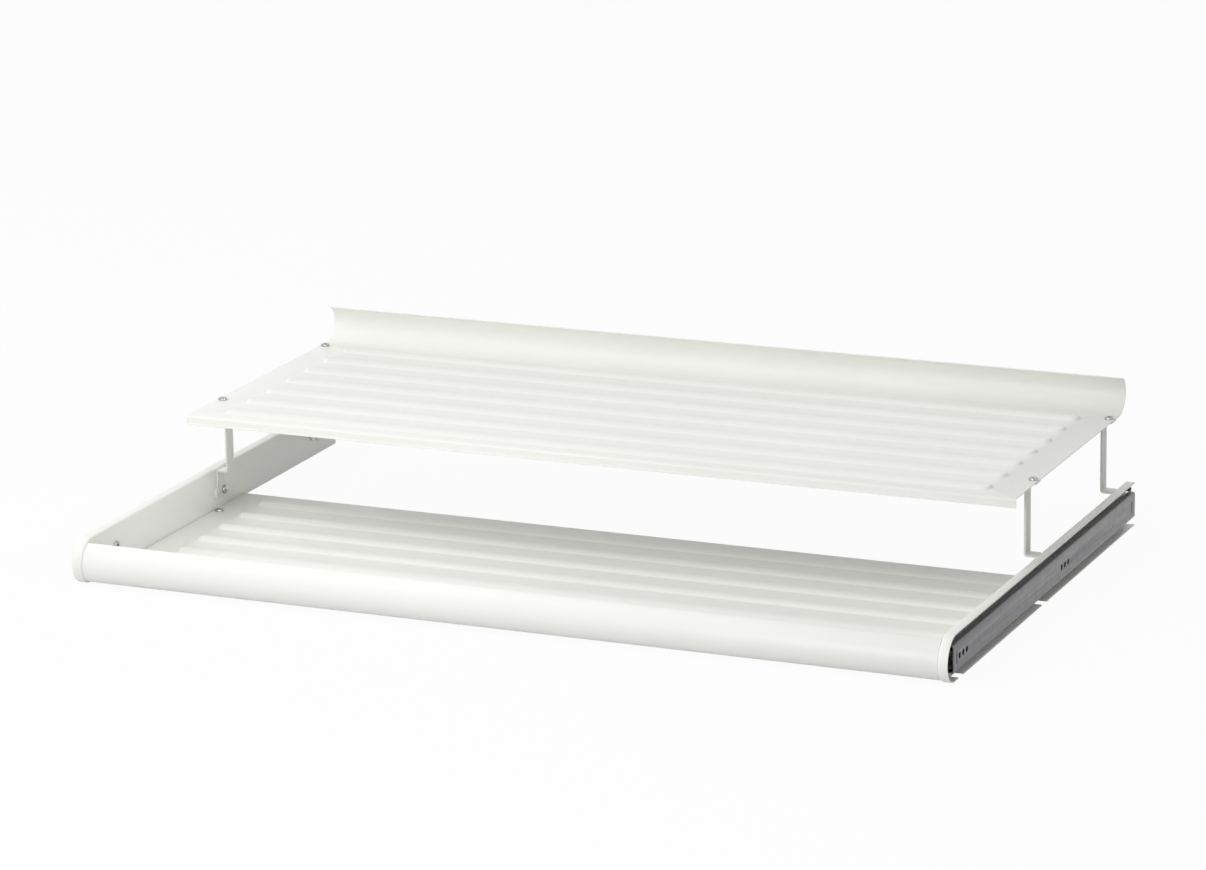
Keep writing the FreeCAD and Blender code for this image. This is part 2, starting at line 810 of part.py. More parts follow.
def drawerRail(label):
    """Inner member of a slide, fixed to the side panel."""
    body = newBody(label)
    wall = size("slideWall")
    bend = size("slideBend")
    race = (ballX, ballRise)
    cup = -size("cupAngle") - 90
    flat = ballRise - raceRadius
    front = alongY(size("drawerRailFront"))
    profile = frontSketch(body, front)
    outline(profile, mirroredOutline([
        (webOuter, flat - bend),
        (webOuter - bend, flat, bend),
        (ballX, flat),
        polar(race, raceRadius, cup) + (-raceRadius,),
        polar(race, raceRadius + wall, cup),
        (ballX, flat - wall, raceRadius + wall),
        (webOuter - bend, flat - wall),
        (webOuter - wall, flat - bend, -(bend - wall)),
    ]))
    pad(body, profile, drawerRailRear - size("drawerRailFront"), against=True)

    halfTab = ballRise - raceRadius - wall * 2
    inner = webOuter - wall
    tabRear = alongY(rearStop - size("stopGap"))
    bottom = slideCentre - halfTab
    top = slideCentre + halfTab
    slit = sideSketch(body, inner)
    rectangle(slit, tabRear - wall - size("stopSlit"), tabRear - wall, bottom, top)
    pocket(body, slit, wall)
    tabFace = slideOuter + size("slideWall") + size("retainerGap")
    tab = sideSketch(body, tabFace)
    rectangle(tab, tabRear - wall, tabRear, bottom, top)
    pad(body, tab, inner - tabFace)

    holes = sideSketch(body, inner)
    for distance in drawerScrews:
        circle(holes, alongY(distance), slideCentre, screwHole)
    pocket(body, holes, wall)
    return body


# The retainer meets the cabinet rail's front stop and the drawer rail's tab when the tray
# is all the way out, and it travels half as far as the tray.
drawerTabFront = rearStop - size("stopGap") - size("slideWall")
retainerLength = drawerTabFront - size("travel") - frontStop - size("stopGap") * 2
retainerFront = frontStop + size("stopGap") + size("travel") / 2
ballReach = retainerLength - size("ballMargin") * 2
firstBall = retainerFront + size("ballMargin")


def ballRetainer(label):
    """Thin channel that holds the balls of a slide apart."""
    body = newBody(label)
    wall = size("retainerWall")
    back = slideOuter + size("slideWall") + size("retainerGap")
    reach = slideOuter + size("retainerReach")
    half = ballRise + wall / 2
    profile = frontSketch(body, alongY(retainerFront))
    outline(profile, mirroredOutline([
        (back, half - wall),
        (back + wall, half, -wall),
        (reach, half),
        (reach, half - wall),
        (back + wall, half - wall),
    ]))
    pad(body, profile, retainerLength, against=True)
    # each pair of balls sits in notches, open towards the drawer rail
    halfSeat = size("ballDiameter") / 2 + size("pocketGap")
    seats = topSketch(body, slideCentre - half)
    rectangle(seats, ballX - halfSeat, reach + overrun,
              alongY(firstBall) - halfSeat, alongY(firstBall) + halfSeat)
    seat = pocket(body, seats, half * 2)
    repeat(body, [seat], "Y_Axis", size("ballsPerRow"), ballReach)
    return body


def bearingBalls(label):
    """Two rows of steel balls, above and below the centre line of a slide.

    Each ball is an octagonal prism with bevelled ends, so that the many balls have few faces.
    """
    body = newBody(label)
    corner = size("ballDiameter") / 2 * cosine(octagonStep / 2)
    bevel = corner - size("ballDiameter") / 2 * sine(octagonStep / 2)
    rows = []
    for hand in (1, -1):
        ring = topSketch(body, slideCentre + ballRise * hand - corner)
        octagon(ring, ballX, alongY(firstBall), corner)
        rows.append(pad(body, ring, corner * 2))
    repeat(body, rows, "Y_Axis", size("ballsPerRow"), ballReach)
    treatEdges(body, "Chamfer", "Size", bevel, lambda edge: near(edge.BoundBox.ZLength, 0))
    return body


def guidePlug(label):
    """Plastic plug on the side panel that runs along the top edge of the cabinet rail."""
    body = newBody(label)
    rim = sideSketch(body, webOuter - size("plugReach"))
    circle(rim, alongY(plugAt), plugHeight, size("plugDiameter") / 2)
    pad(body, rim, size("plugReach"))
    rivet = sideSketch(body, webOuter)
    octagon(rivet, alongY(plugAt), plugHeight, size("plugRivet") / 2)
    pad(body, rivet, size("panelWall"))
    return body


# ---------------------------------------------------------------- screws
def screws(label, direction, grip, leftSeats):
    """A set of screws with plain heads, the same on both sides.

    A seat is the point under a head on the left side. The screws point in a direction,
    "down" or "outward", and grip is the length of each below its head.
    """
    body = newBody(label)
    for hand in (1, -1):
        for x, y, z in leftSeats:
            for draw, radius, length, isHead in (
                    (circle, size("screwHead") / 2, size("screwHeadRise"), True),
                    (octagon, size("screwShank") / 2, grip, False)):
                if direction == "down":
                    section = topSketch(body, z)
                    draw(section, x * hand, y, radius)
                    pad(body, section, length, against=not isHead)
                else:
                    section = sideSketch(body, x * hand)
                    draw(section, y, z, radius)
                    pad(body, section, length, against=isHead == (hand < 0))
    return body


# ---------------------------------------------------------------- the assembly
leftPieces = [
    sidePanel("left_side_panel"),
    leg("front_left_leg", legFronts[0]),
    leg("rear_left_leg", legFronts[1]),
    cabinetRail("left_cabinet_rail"),
    drawerRail("left_drawer_rail"),
    ballRetainer("left_ball_retainer"),
    bearingBalls("left_bearing_balls"),
    guidePlug("left_guide_plug"),
]
rightPieces = [mirrored(piece, piece.Label.replace("left", "right")) for piece in leftPieces]

legMiddles = [alongY(distance + size("legWidth") / 2) for distance in legFronts]
legScrews = [alongY(distance + size("legScrewInset")) for distance in legFronts]
tabMiddles = [alongY(size("frontTabAt")), alongY(size("rearTabAt"))]
legFace = webInner + size("legWall")
legScrewGrip = legFace - webOuter - size("screwHoleGap")
railScrewGrip = webInner - slideOuter - size("railScrewEnd")
centrePieces = [
    frontRail("front_rail"),
    lowerShelf("lower_shelf"),
    upperShelf("upper_shelf"),
    screws("upper_shelf_screws", "down", size("shelfScrewGrip"),
           [(shelfScrewX, y, size("upperShelfTop")) for y in legMiddles]),
    screws("lower_shelf_screws", "down", lowerShelfTop,
           [(shelfScrewX, y, lowerShelfTop) for y in tabMiddles]),
    screws("leg_screws", "outward", legScrewGrip,
           [(legFace, y, size("legScrewHeight")) for y in legScrews]),
    screws("drawer_rail_screws", "outward", railScrewGrip,
           [(webInner, alongY(distance), slideCentre) for distance in drawerScrews]),
]

# ---------------------------------------------------------------- check and write
doc.recompute()
pieces = leftPieces + rightPieces + centrePieces
for item in doc.Objects:
    if "Invalid" in item.State or "Error" in item.State:
        raise RuntimeError("%s did not build: %s" % (item.Label, item.State))
for piece in pieces:
    if piece.Shape.isNull() or not piece.Shape.isValid():
        raise RuntimeError("%s has no valid shape" % piece.Label)
    if not piece.Shape.Solids:
        raise RuntimeError("%s holds no solid" % piece.Label)

os.makedirs("parts", exist_ok=True)
for piece in pieces:
    piece.Shape.exportStep(os.path.join("parts", piece.Label + ".step"))
    print("%-22s %2d solid(s)  %10.1f mm3" % (piece.Label, len(piece.Shape.Solids),
                                           piece.Shape.Volume))
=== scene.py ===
import math

import bmesh
import bpy
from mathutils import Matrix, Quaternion, Vector


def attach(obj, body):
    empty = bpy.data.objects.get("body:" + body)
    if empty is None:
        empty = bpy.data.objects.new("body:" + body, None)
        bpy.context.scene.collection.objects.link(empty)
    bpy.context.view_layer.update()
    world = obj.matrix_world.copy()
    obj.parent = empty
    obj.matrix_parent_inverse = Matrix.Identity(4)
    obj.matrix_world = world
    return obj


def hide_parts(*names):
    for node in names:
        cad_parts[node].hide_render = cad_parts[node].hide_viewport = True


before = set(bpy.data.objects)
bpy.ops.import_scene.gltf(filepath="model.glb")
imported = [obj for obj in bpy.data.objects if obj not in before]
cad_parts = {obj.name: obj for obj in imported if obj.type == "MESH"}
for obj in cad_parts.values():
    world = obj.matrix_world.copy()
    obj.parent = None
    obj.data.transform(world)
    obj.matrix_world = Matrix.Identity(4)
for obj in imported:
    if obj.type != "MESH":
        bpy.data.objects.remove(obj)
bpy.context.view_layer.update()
mm = 0.001
slack = 0.01 * mm       # two places as near as this are the same
almost = 0.9999         # a full round stops just short of where its two arcs would meet
aligned = 0.8           # least cosine between a face's normal and the way it should look
print("frame loaded")

cameraSetup = {
    "place": (1.9615, -4.4859, 1.4730),
    "turn": 23.70,          # degrees, seen from the right of the rack
    "down": 15.38,
    "roll": -1.00,
    "lens": 150.4,
    "sensor": 36,
    "clip": (0.1, 60),
}


def addCamera():
    bpy.ops.object.camera_add(location=cameraSetup["place"])
    camera = bpy.context.object
    camera.name = "viewCamera"
    camera.data.lens = cameraSetup["lens"]
    camera.data.sensor_width = cameraSetup["sensor"]
    camera.data.clip_start, camera.data.clip_end = cameraSetup["clip"]
    camera.rotation_mode = "QUATERNION"
    camera.rotation_quaternion = (
        Quaternion((0, 0, 1), math.radians(cameraSetup["turn"]))
        @ Quaternion((1, 0, 0), math.radians(90 - cameraSetup["down"]))
        @ Quaternion((0, 0, 1), math.radians(cameraSetup["roll"]))
    )
    bpy.context.scene.camera = camera


addCamera()
print("camera set")

studio = {
    "worldLevel": 0.05,     # what the object receives from all round
    "worldLobes": {         # more from one side: direction and strength
        "behind": ((0, 1, 0), 0.45),
        "left": ((-1, 0, 0), 0.60),
        "above": ((0, 0, 1), 0.50),
    },
    "lamps": {              # place, aim, side, power, and whether reflections show it
        "mainLamp": ((-0.4, -1.0, 1.8), (0, 0, 0.1), 1.6, 10.2, True),
        "lowLamp": ((0.42, -2.4, 0.72), (-0.3, 0.1, 0.05), 0.6, 16, True),
        "sideLamp": ((-2.5, -0.5, 1.0), (0, 0, 0.1), 2.0, 19.8, False),
    },
    "spots": {              # place, aim, width of the beam in degrees and power
        "cornerSpot": ((1.3, -0.5, 0.75), (-0.46, -0.12, 0.02), 15, 25),
    },
    "spotBulb": 0.1,        # radius that softens the spots' shadows
    "floorSize": 30.0,
    "floorTint": 0.72,      # how much of the lamps' light the floor gives back
    "floorShow": 0.95,      # share of plain white that the camera sees in the floor
}


def addLight(name, kind, place, target, power):
    bpy.ops.object.light_add(type=kind, location=place)
    lamp = bpy.context.object
    lamp.name = name
    lamp.data.energy = power
    aim = Vector(target) - Vector(place)
    lamp.rotation_euler = aim.to_track_quat("-Z", "Y").to_euler()
    return lamp


def addLamp(name, place, target, size, power, reflected):
    lamp = addLight(name, "AREA", place, target, power)
    lamp.data.shape = "SQUARE"
    lamp.data.size = size
    lamp.visible_glossy = reflected


def addSpot(name, place, target, beam, power):
    # a lamp with a narrow beam and soft edges
    lamp = addLight(name, "SPOT", place, target, power)
    lamp.data.spot_size = math.radians(beam)
    lamp.data.spot_blend = 1
    lamp.data.shadow_soft_size = studio["spotBulb"]


def addSeenMask(nodes, links):
    # 1 where the camera, a reflection or a glass looks, and 0 where light is gathered
    rays = nodes.new("ShaderNodeLightPath")
    mask = rays.outputs["Is Camera Ray"]
    for label in ("Is Glossy Ray", "Is Transmission Ray"):
        either = nodes.new("ShaderNodeMath")
        either.operation = "MAXIMUM"
        links.new(mask, either.inputs[0])
        links.new(rays.outputs[label], either.inputs[1])
        mask = either.outputs[0]
    return mask


def addWorld():
    world = bpy.data.worlds.new("studioWorld")
    bpy.context.scene.world = world
    world.use_nodes = True
    nodes = world.node_tree.nodes
    links = world.node_tree.links
    nodes.clear()
    output = nodes.new("ShaderNodeOutputWorld")
    seen = addSeenMask(nodes, links)
    soft = nodes.new("ShaderNodeBackground")
    soft.inputs["Color"].default_value = (1, 1, 1, 1)
    around = nodes.new("ShaderNodeTexCoord").outputs["Generated"]
    level = nodes.new("ShaderNodeValue")
    level.outputs[0].default_value = studio["worldLevel"]
    total = level.outputs[0]
    for direction, strength in studio["worldLobes"].values():
        facing = nodes.new("ShaderNodeVectorMath")
        facing.operation = "DOT_PRODUCT"
        facing.inputs[1].default_value = Vector(direction).normalized()
        links.new(around, facing.inputs[0])
        lobe = nodes.new("ShaderNodeMath")
        lobe.operation = "MAXIMUM"
        links.new(facing.outputs["Value"], lobe.inputs[0])
        lobe.inputs[1].default_value = 0
        more = nodes.new("ShaderNodeMath")
        more.operation = "MULTIPLY_ADD"
        links.new(lobe.outputs[0], more.inputs[0])
        more.inputs[1].default_value = strength
        links.new(total, more.inputs[2])
        total = more.outputs[0]
    links.new(total, soft.inputs["Strength"])
    plain = nodes.new("ShaderNodeBackground")
    plain.inputs["Color"].default_value = (1, 1, 1, 1)
    plain.inputs["Strength"].default_value = 1
    mix = nodes.new("ShaderNodeMixShader")
    links.new(seen, mix.inputs["Fac"])
    links.new(soft.outputs[0], mix.inputs[1])
    links.new(plain.outputs[0], mix.inputs[2])
    links.new(mix.outputs[0], output.inputs["Surface"])


def addFloor():
    bpy.ops.mesh.primitive_plane_add(size=studio["floorSize"], location=(0, 0, 0))
    floor = bpy.context.object
    floor.name = "studioFloor"
    material = bpy.data.materials.new("paleFloor")
    material.use_nodes = True
    nodes = material.node_tree.nodes
    links = material.node_tree.links
    nodes.clear()
    output = nodes.new("ShaderNodeOutputMaterial")
    paint = nodes.new("ShaderNodeBsdfDiffuse")
    paint.inputs["Color"].default_value = [studio["floorTint"]] * 3 + [1]
    glow = nodes.new("ShaderNodeEmission")
    glow.inputs["Color"].default_value = (1, 1, 1, 1)
    glow.inputs["Strength"].default_value = 1
    share = nodes.new("ShaderNodeMath")
    share.operation = "MULTIPLY"
    share.inputs[1].default_value = studio["floorShow"]
    links.new(addSeenMask(nodes, links), share.inputs[0])
    mix = nodes.new("ShaderNodeMixShader")
    links.new(share.outputs[0], mix.inputs["Fac"])
    links.new(paint.outputs[0], mix.inputs[1])
    links.new(glow.outputs[0], mix.inputs[2])
    links.new(mix.outputs[0], output.inputs["Surface"])
    floor.data.materials.append(material)


bpy.context.scene.view_settings.view_transform = "Standard"
addWorld()
addFloor()
for lampName, setting in studio["lamps"].items():
    addLamp(lampName, *setting)
for spotName, setting in studio["spots"].items():
    addSpot(spotName, *setting)
print("studio set")


def newEffect(name, inputs):
    # a node group that puts out a colour, a roughness and a height
    tree = bpy.data.node_groups.new(name, "ShaderNodeTree")
    for label, value in inputs.items():
        kind = "NodeSocketColor" if isinstance(value, tuple) else "NodeSocketFloat"
        socket = tree.interface.new_socket(label, in_out="INPUT", socket_type=kind)
        socket.default_value = value
    for label, kind in (("Color", "NodeSocketColor"), ("Roughness", "NodeSocketFloat"),
                        ("Height", "NodeSocketFloat")):
        tree.interface.new_socket(label, in_out="OUTPUT", socket_type=kind)
    entry = tree.nodes.new("NodeGroupInput")
    leave = tree.nodes.new("NodeGroupOutput")
    return tree, entry, leave


def addNoise(tree, source, scale, detail, roughness):
    noise = tree.nodes.new("ShaderNodeTexNoise")
    noise.inputs["Scale"].default_value = scale
    noise.inputs["Detail"].default_value = detail
    noise.inputs["Roughness"].default_value = roughness
    tree.links.new(source, noise.inputs["Vector"])
    return noise.outputs["Fac"]


def addRange(tree, source, low, high, start=0.3, end=0.7):
    spread = tree.nodes.new("ShaderNodeMapRange")
    spread.inputs["From Min"].default_value = start
    spread.inputs["From Max"].default_value = end
    spread.inputs["To Min"].default_value = low
    spread.inputs["To Max"].default_value = high
    tree.links.new(source, spread.inputs["Value"])
    return spread.outputs["Result"]


def addMix(tree, share, first, second):
    mix = tree.nodes.new("ShaderNodeMix")
    mix.data_type = "RGBA"
    tree.links.new(share, mix.inputs[0])
    tree.links.new(first, mix.inputs[6])
    tree.links.new(second, mix.inputs[7])
    return mix.outputs[2]


def addRoughness(tree, entry, leave, source):
    # from the input Smooth to the input Rough, as the noise rises
    rough = addRange(tree, source, 0, 1)
    tree.links.new(entry.outputs["Smooth"], rough.node.inputs["To Min"])
    tree.links.new(entry.outputs["Rough"], rough.node.inputs["To Max"])
    tree.links.new(rough, leave.inputs["Roughness"])


coatGrain = {
    # scale, detail and roughness of each noise
    "clouds": (7, 3, 0.5), "speckle": (420, 2, 0.5), "peel": (950, 2, 0.6),
    # the most of the second tint that shows, and the span of noise over which it comes in
    "cloudTint": (0.75, 0.3, 0.7), "dustTint": (0.22, 0.55, 0.8),
}
steelGrain = {
    "streaks": (700, 4, 0.6), "blotches": (130, 3, 0.5),
    "streakTint": (1, 0.3, 0.7), "blotchTint": (0.5, 0.45, 0.7),
}


def sprayedCoatEffect():
    # baked powder coat: clouds of tint, and the fine dimples of orange peel
    tree, entry, leave = newEffect("sprayedCoat", {
        "Coat": (0.8, 0.8, 0.8, 1), "Cloud": (0.7, 0.7, 0.7, 1), "Smooth": 0.3, "Rough": 0.4})
    place = tree.nodes.new("ShaderNodeTexCoord").outputs["Object"]
    clouds = addNoise(tree, place, *coatGrain["clouds"])
    speckle = addNoise(tree, place, *coatGrain["speckle"])
    peel = addNoise(tree, place, *coatGrain["peel"])
    cloud = addRange(tree, clouds, 0, *coatGrain["cloudTint"])
    tinted = addMix(tree, cloud, entry.outputs["Coat"], entry.outputs["Cloud"])
    dust = addRange(tree, speckle, 0, *coatGrain["dustTint"])
    tree.links.new(addMix(tree, dust, tinted, entry.outputs["Cloud"]), leave.inputs["Color"])
    addRoughness(tree, entry, leave, speckle)
    tree.links.new(peel, leave.inputs["Height"])
    return tree


def rolledSteelEffect():
    # rolled and plated strip: long streaks along Y, and small blotches of zinc
    tree, entry, leave = newEffect("rolledSteel", {
        "Metal": (0.5, 0.5, 0.5, 1), "Streak": (0.4, 0.4, 0.4, 1), "Smooth": 0.25, "Rough": 0.4,
        "Stretch": 0.05})
    place = tree.nodes.new("ShaderNodeTexCoord").outputs["Object"]
    scale = tree.nodes.new("ShaderNodeCombineXYZ")
    scale.inputs["X"].default_value = 1
    scale.inputs["Z"].default_value = 1
    tree.links.new(entry.outputs["Stretch"], scale.inputs["Y"])
    drawn = tree.nodes.new("ShaderNodeVectorMath")
    drawn.operation = "MULTIPLY"
    tree.links.new(place, drawn.inputs[0])
    tree.links.new(scale.outputs[0], drawn.inputs[1])
    streaks = addNoise(tree, drawn.outputs[0], *steelGrain["streaks"])
    blotches = addNoise(tree, place, *steelGrain["blotches"])
    streak = addRange(tree, streaks, 0, *steelGrain["streakTint"])
    streaked = addMix(tree, streak, entry.outputs["Metal"], entry.outputs["Streak"])
    blotch = addRange(tree, blotches, 0, *steelGrain["blotchTint"])
    tree.links.new(addMix(tree, blotch, streaked, entry.outputs["Streak"]), leave.inputs["Color"])
    addRoughness(tree, entry, leave, blotches)
    tree.links.new(streaks, leave.inputs["Height"])
    return tree


sprayedCoat = sprayedCoatEffect()
rolledSteel = rolledSteelEffect()


def finishMaterial(name, effect, values, metallic, bump):
    material = bpy.data.materials.new(name)
    material.use_nodes = True
    tree = material.node_tree
    shader = tree.nodes["Principled BSDF"]
    shader.inputs["Metallic"].default_value = metallic
    source = tree.nodes.new("ShaderNodeGroup")
    source.node_tree = effect
    for label, value in values.items():
        source.inputs[label].default_value = value
    relief = tree.nodes.new("ShaderNodeBump")
    relief.inputs["Strength"].default_value = bump
    relief.inputs["Distance"].default_value = 0.2 * mm
    tree.links.new(source.outputs["Color"], shader.inputs["Base Color"])
    tree.links.new(source.outputs["Roughness"], shader.inputs["Roughness"])
    tree.links.new(source.outputs["Height"], relief.inputs["Height"])
    tree.links.new(relief.outputs["Normal"], shader.inputs["Normal"])
    return material


whiteCoat = finishMaterial("whitePowderCoat", sprayedCoat, {
    "Coat": (0.875, 0.882, 0.843, 1), "Cloud": (0.855, 0.862, 0.823, 1),
    "Smooth": 0.36, "Rough": 0.48}, metallic=0, bump=0.10)
# the white coat made darker for the legs: painted shade
legShadedCoat = finishMaterial("legShadedPowderCoat", sprayedCoat, {
    "Coat": (0.80, 0.804, 0.78, 1), "Cloud": (0.775, 0.779, 0.755, 1),
    "Smooth": 0.32, "Rough": 0.44}, metallic=0, bump=0.12)
# zinc darkened far below bare plating: painted shade and painted dark reflection on the slides
slideShadedZinc = finishMaterial("slideShadedZinc", rolledSteel, {
    "Metal": (0.203, 0.203, 0.21, 1), "Streak": (0.177, 0.177, 0.183, 1),
    "Smooth": 0.36, "Rough": 0.44, "Stretch": 0.03}, metallic=0.85, bump=0.04)
retainerZinc = finishMaterial("retainerZinc", rolledSteel, {
    "Metal": (0.42, 0.41, 0.38, 1), "Streak": (0.34, 0.33, 0.31, 1),
    "Smooth": 0.25, "Rough": 0.38, "Stretch": 0.05}, metallic=1, bump=0.10)
ballMetal = finishMaterial("polishedBalls", rolledSteel, {
    "Metal": (0.58, 0.58, 0.58, 1), "Streak": (0.54, 0.54, 0.54, 1),
    "Smooth": 0.06, "Rough": 0.12, "Stretch": 1.0}, metallic=1, bump=0.01)
# plated steel's grey, darkened further as painted dark reflection on the heads
screwDarkenedMetal = finishMaterial("screwPlatingAndDarkReflection", rolledSteel, {
    "Metal": (0.50, 0.50, 0.49, 1), "Streak": (0.38, 0.38, 0.37, 1),
    "Smooth": 0.16, "Rough": 0.28, "Stretch": 0.6}, metallic=1, bump=0.05)
plugPlastic = finishMaterial("plugPlastic", sprayedCoat, {
    "Coat": (0.10, 0.10, 0.105, 1), "Cloud": (0.08, 0.08, 0.085, 1),
    "Smooth": 0.40, "Rough": 0.55}, metallic=0, bump=0.15)
print("materials made")


def activate(piece):
    bpy.ops.object.select_all(action="DESELECT")
    piece.select_set(True)
    bpy.context.view_layer.objects.active = piece


def startPlate(name, low, high):
    # a flat plate between two corners, which share one of their three coordinates
    bpy.ops.object.select_all(action="DESELECT")
    spans = [high[axis] - low[axis] for axis in range(3)]
    flat = min(range(3), key=lambda axis: abs(spans[axis]))
    turns = {0: (0, math.pi / 2, 0), 1: (math.pi / 2, 0, 0), 2: (0, 0, 0)}
    widths = {0: (spans[2], spans[1], 1), 1: (spans[0], spans[2], 1), 2: (spans[0], spans[1], 1)}
    middle = [(low[axis] + high[axis]) / 2 for axis in range(3)]
    bpy.ops.mesh.primitive_plane_add(size=1, location=middle, rotation=turns[flat])
    piece = bpy.context.object
    piece.scale = widths[flat]
    piece.name = name
    piece.data.name = name
    bpy.ops.object.transform_apply(location=True, rotation=True, scale=True)
    return piece


def pick(piece, kind, test):
    # in edit mode: selects the corners, edges or faces that pass a test
    bpy.ops.mesh.select_mode(type={"verts": "VERT", "edges": "EDGE", "faces": "FACE"}[kind])
    bpy.ops.mesh.select_all(action="DESELECT")
    mesh = bmesh.from_edit_mesh(piece.data)
    mesh.normal_update()
    found = [part for part in getattr(mesh, kind) if test(part)]
    for part in found:
        part.select_set(True)
    bmesh.update_edit_mesh(piece.data)
    if not found:
        raise RuntimeError("nothing to pick on " + piece.name)


def placed(test):
    # every corner of an edge or face passes the test
    return lambda part: all(test(corner.co) for corner in part.verts)


def turned(direction, test):
    # a face that looks in a direction, and whose corners pass a test
    inPlace = placed(test)
    return lambda part: part.normal.dot(Vector(direction)) > aligned and inPlace(part)


def extrudeRing(scale, rise):
    # carries a ring of edges along Z, then widens or narrows it about the Z axis
    bpy.ops.mesh.extrude_edges_move(TRANSFORM_OT_translate={"value": (0, 0, rise)})
    bpy.ops.transform.resize(value=(scale, scale, 1), center_override=(0, 0, 0))


def extrudeEdges(move):
    bpy.ops.mesh.extrude_edges_move(TRANSFORM_OT_translate={"value": move})


def extrudeFaces(move):
    bpy.ops.mesh.extrude_region_move(TRANSFORM_OT_translate={"value": move})


def sweepRound(centre, degrees, steps, axis=(1, 0, 0)):
    # spin turns the other way round its axis, so the angle is given negative
    bpy.ops.mesh.spin(steps=steps, angle=-math.radians(degrees), center=centre, axis=axis)


def finishEdit(piece, facing=None):
    # merges doubles and turns the faces outwards, or an open sheet's skin a given way
    bpy.ops.mesh.select_mode(type="VERT")
    bpy.ops.mesh.select_all(action="SELECT")
    bpy.ops.mesh.remove_doubles(threshold=slack)
    bpy.ops.mesh.normals_make_consistent(inside=False)
    if facing:
        mesh = bmesh.from_edit_mesh(piece.data)
        lean = sum((face.normal * face.calc_area() for face in mesh.faces), Vector())
        if lean.dot(Vector(facing)) < 0:
            bpy.ops.mesh.flip_normals()
    bpy.ops.object.mode_set(mode="OBJECT")


def applyModifier(piece, kind, **settings):
    activate(piece)
    modifier = piece.modifiers.new(kind.lower(), kind)
    for label, value in settings.items():
        setattr(modifier, label, value)
    bpy.ops.object.modifier_apply(modifier=modifier.name)


def thicken(sheet, wall):
    # the wall goes inwards from the skin
    applyModifier(sheet, "SOLIDIFY", thickness=wall, offset=-1, use_even_offset=True)


def roundEdges(piece, width):
    applyModifier(piece, "BEVEL", width=width, segments=2, limit_method="ANGLE",
                  angle_limit=math.radians(60))


def smooth(piece, degrees=32):
    activate(piece)
    bpy.ops.object.shade_smooth_by_angle(angle=math.radians(degrees))


def wear(piece, material, body, node):
    piece.data.materials.clear()
    piece.data.materials.append(material)
    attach(piece, body)
    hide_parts(node)


def near(value, goal):
    return abs(value - goal) < slack


def copyPiece(source, name, place=(0, 0, 0), turn=(0, 0, 0), flip=False):
    # a copy with its own mesh, moved, turned, or mirrored to the other side of the rack
    activate(source)
    bpy.ops.object.duplicate()
    twin = bpy.context.object
    twin.name = name
    twin.data.name = name
    twin.location = place
    twin.rotation_euler = turn
    if flip:
        twin.scale = (-1, 1, 1)
    bpy.ops.object.transform_apply(location=True, rotation=True, scale=True)
    if flip:
        bpy.ops.object.mode_set(mode="EDIT")
        bpy.ops.mesh.select_all(action="SELECT")
        bpy.ops.mesh.normals_make_consistent(inside=False)
        bpy.ops.object.mode_set(mode="OBJECT")
    return twin


def joinPieces(name, pieces):
    bpy.ops.object.select_all(action="DESELECT")
    for piece in pieces:
        piece.select_set(True)
    bpy.context.view_layer.objects.active = pieces[0]
    if len(pieces) > 1:
        bpy.ops.object.join()
    joined = bpy.context.object
    joined.name = name
    joined.data.name = name
    return joined


def removePiece(piece):
    bpy.data.objects.remove(piece, do_unlink=True)


def cutHoles(piece, cutters):
    # takes the cutters out of a piece, then throws them away
    tool = joinPieces("cutter", cutters)
    applyModifier(piece, "BOOLEAN", operation="DIFFERENCE", solver="EXACT", object=tool)
    removePiece(tool)


def addBlock(name, low, high, corner=0, steps=3):
    # a plate drawn out to a block; its two edges nearest the rack's middle may be rounded
    block = startPlate(name, (low[0], low[1], low[2]), (high[0], high[1], low[2]))
    bpy.ops.object.mode_set(mode="EDIT")
    if corner:
        inner = min(low[0], high[0], key=abs)
        pick(block, "verts", lambda vert: near(vert.co.x, inner))
        bpy.ops.mesh.bevel(offset=corner, segments=steps, affect="VERTICES")
    pick(block, "faces", lambda face: True)
    extrudeFaces((0, 0, high[2] - low[2]))
    finishEdit(block)
    return block


def addRod(name, centre, radius, length, sides):
    # a rod along X
    bpy.ops.object.select_all(action="DESELECT")
    bpy.ops.mesh.primitive_cylinder_add(vertices=sides, radius=radius, depth=length,
                                        location=centre, rotation=(0, math.pi / 2, 0))
    rod = bpy.context.object
    rod.name = name
    bpy.ops.object.transform_apply(location=True, rotation=True, scale=True)
    return rod


ribShape = {
    "wall": 1.0 * mm,
    "edge": 0.22 * mm,      # rounding of the sheet's cut edges
    "width": 22 * mm,
    "roundSteps": 10,
    # each ring inwards of the rib's outline: how far in, how far up
    "rings": [(0.4, 0.09), (1.4, 0.77), (1.5, 0.72), (1.7, 0.63), (1.8, 0.45),
              (1.8, 0.27), (1.7, 0.10)],
    "endPush": 0.62,        # how much of each step the rings' ends make up again
}
lowerShelfShape = {
    "left": -452 * mm, "right": 452 * mm, "front": -263.2 * mm, "rear": 63.8 * mm,
    "top": 3.4 * mm, "ribEnd": 419 * mm,
    "firstRib": -236.4 * mm, "lastRib": 33.6 * mm, "ribs": 7,
}
upperShelfShape = {
    "left": -451.1 * mm, "right": 451.1 * mm, "front": -55.2 * mm, "rear": 264.8 * mm,
    "top": 120.0 * mm, "ribEnd": 418.1 * mm,
    "firstRib": -30.9 * mm, "lastRib": 239.1 * mm, "ribs": 7,
    "lipBend": 3.0 * mm, "lipDrop": 9.5 * mm, "lipHem": 1.4 * mm, "lipHemBend": 0.4 * mm,
    "lipSteps": 6, "hemSteps": 3,
    "curlRadius": 22.397 * mm, "curlSteps": 14,
    "curlTopRadius": 16.8 * mm, "curlTopSweep": 75, "curlTopSteps": 12,
}


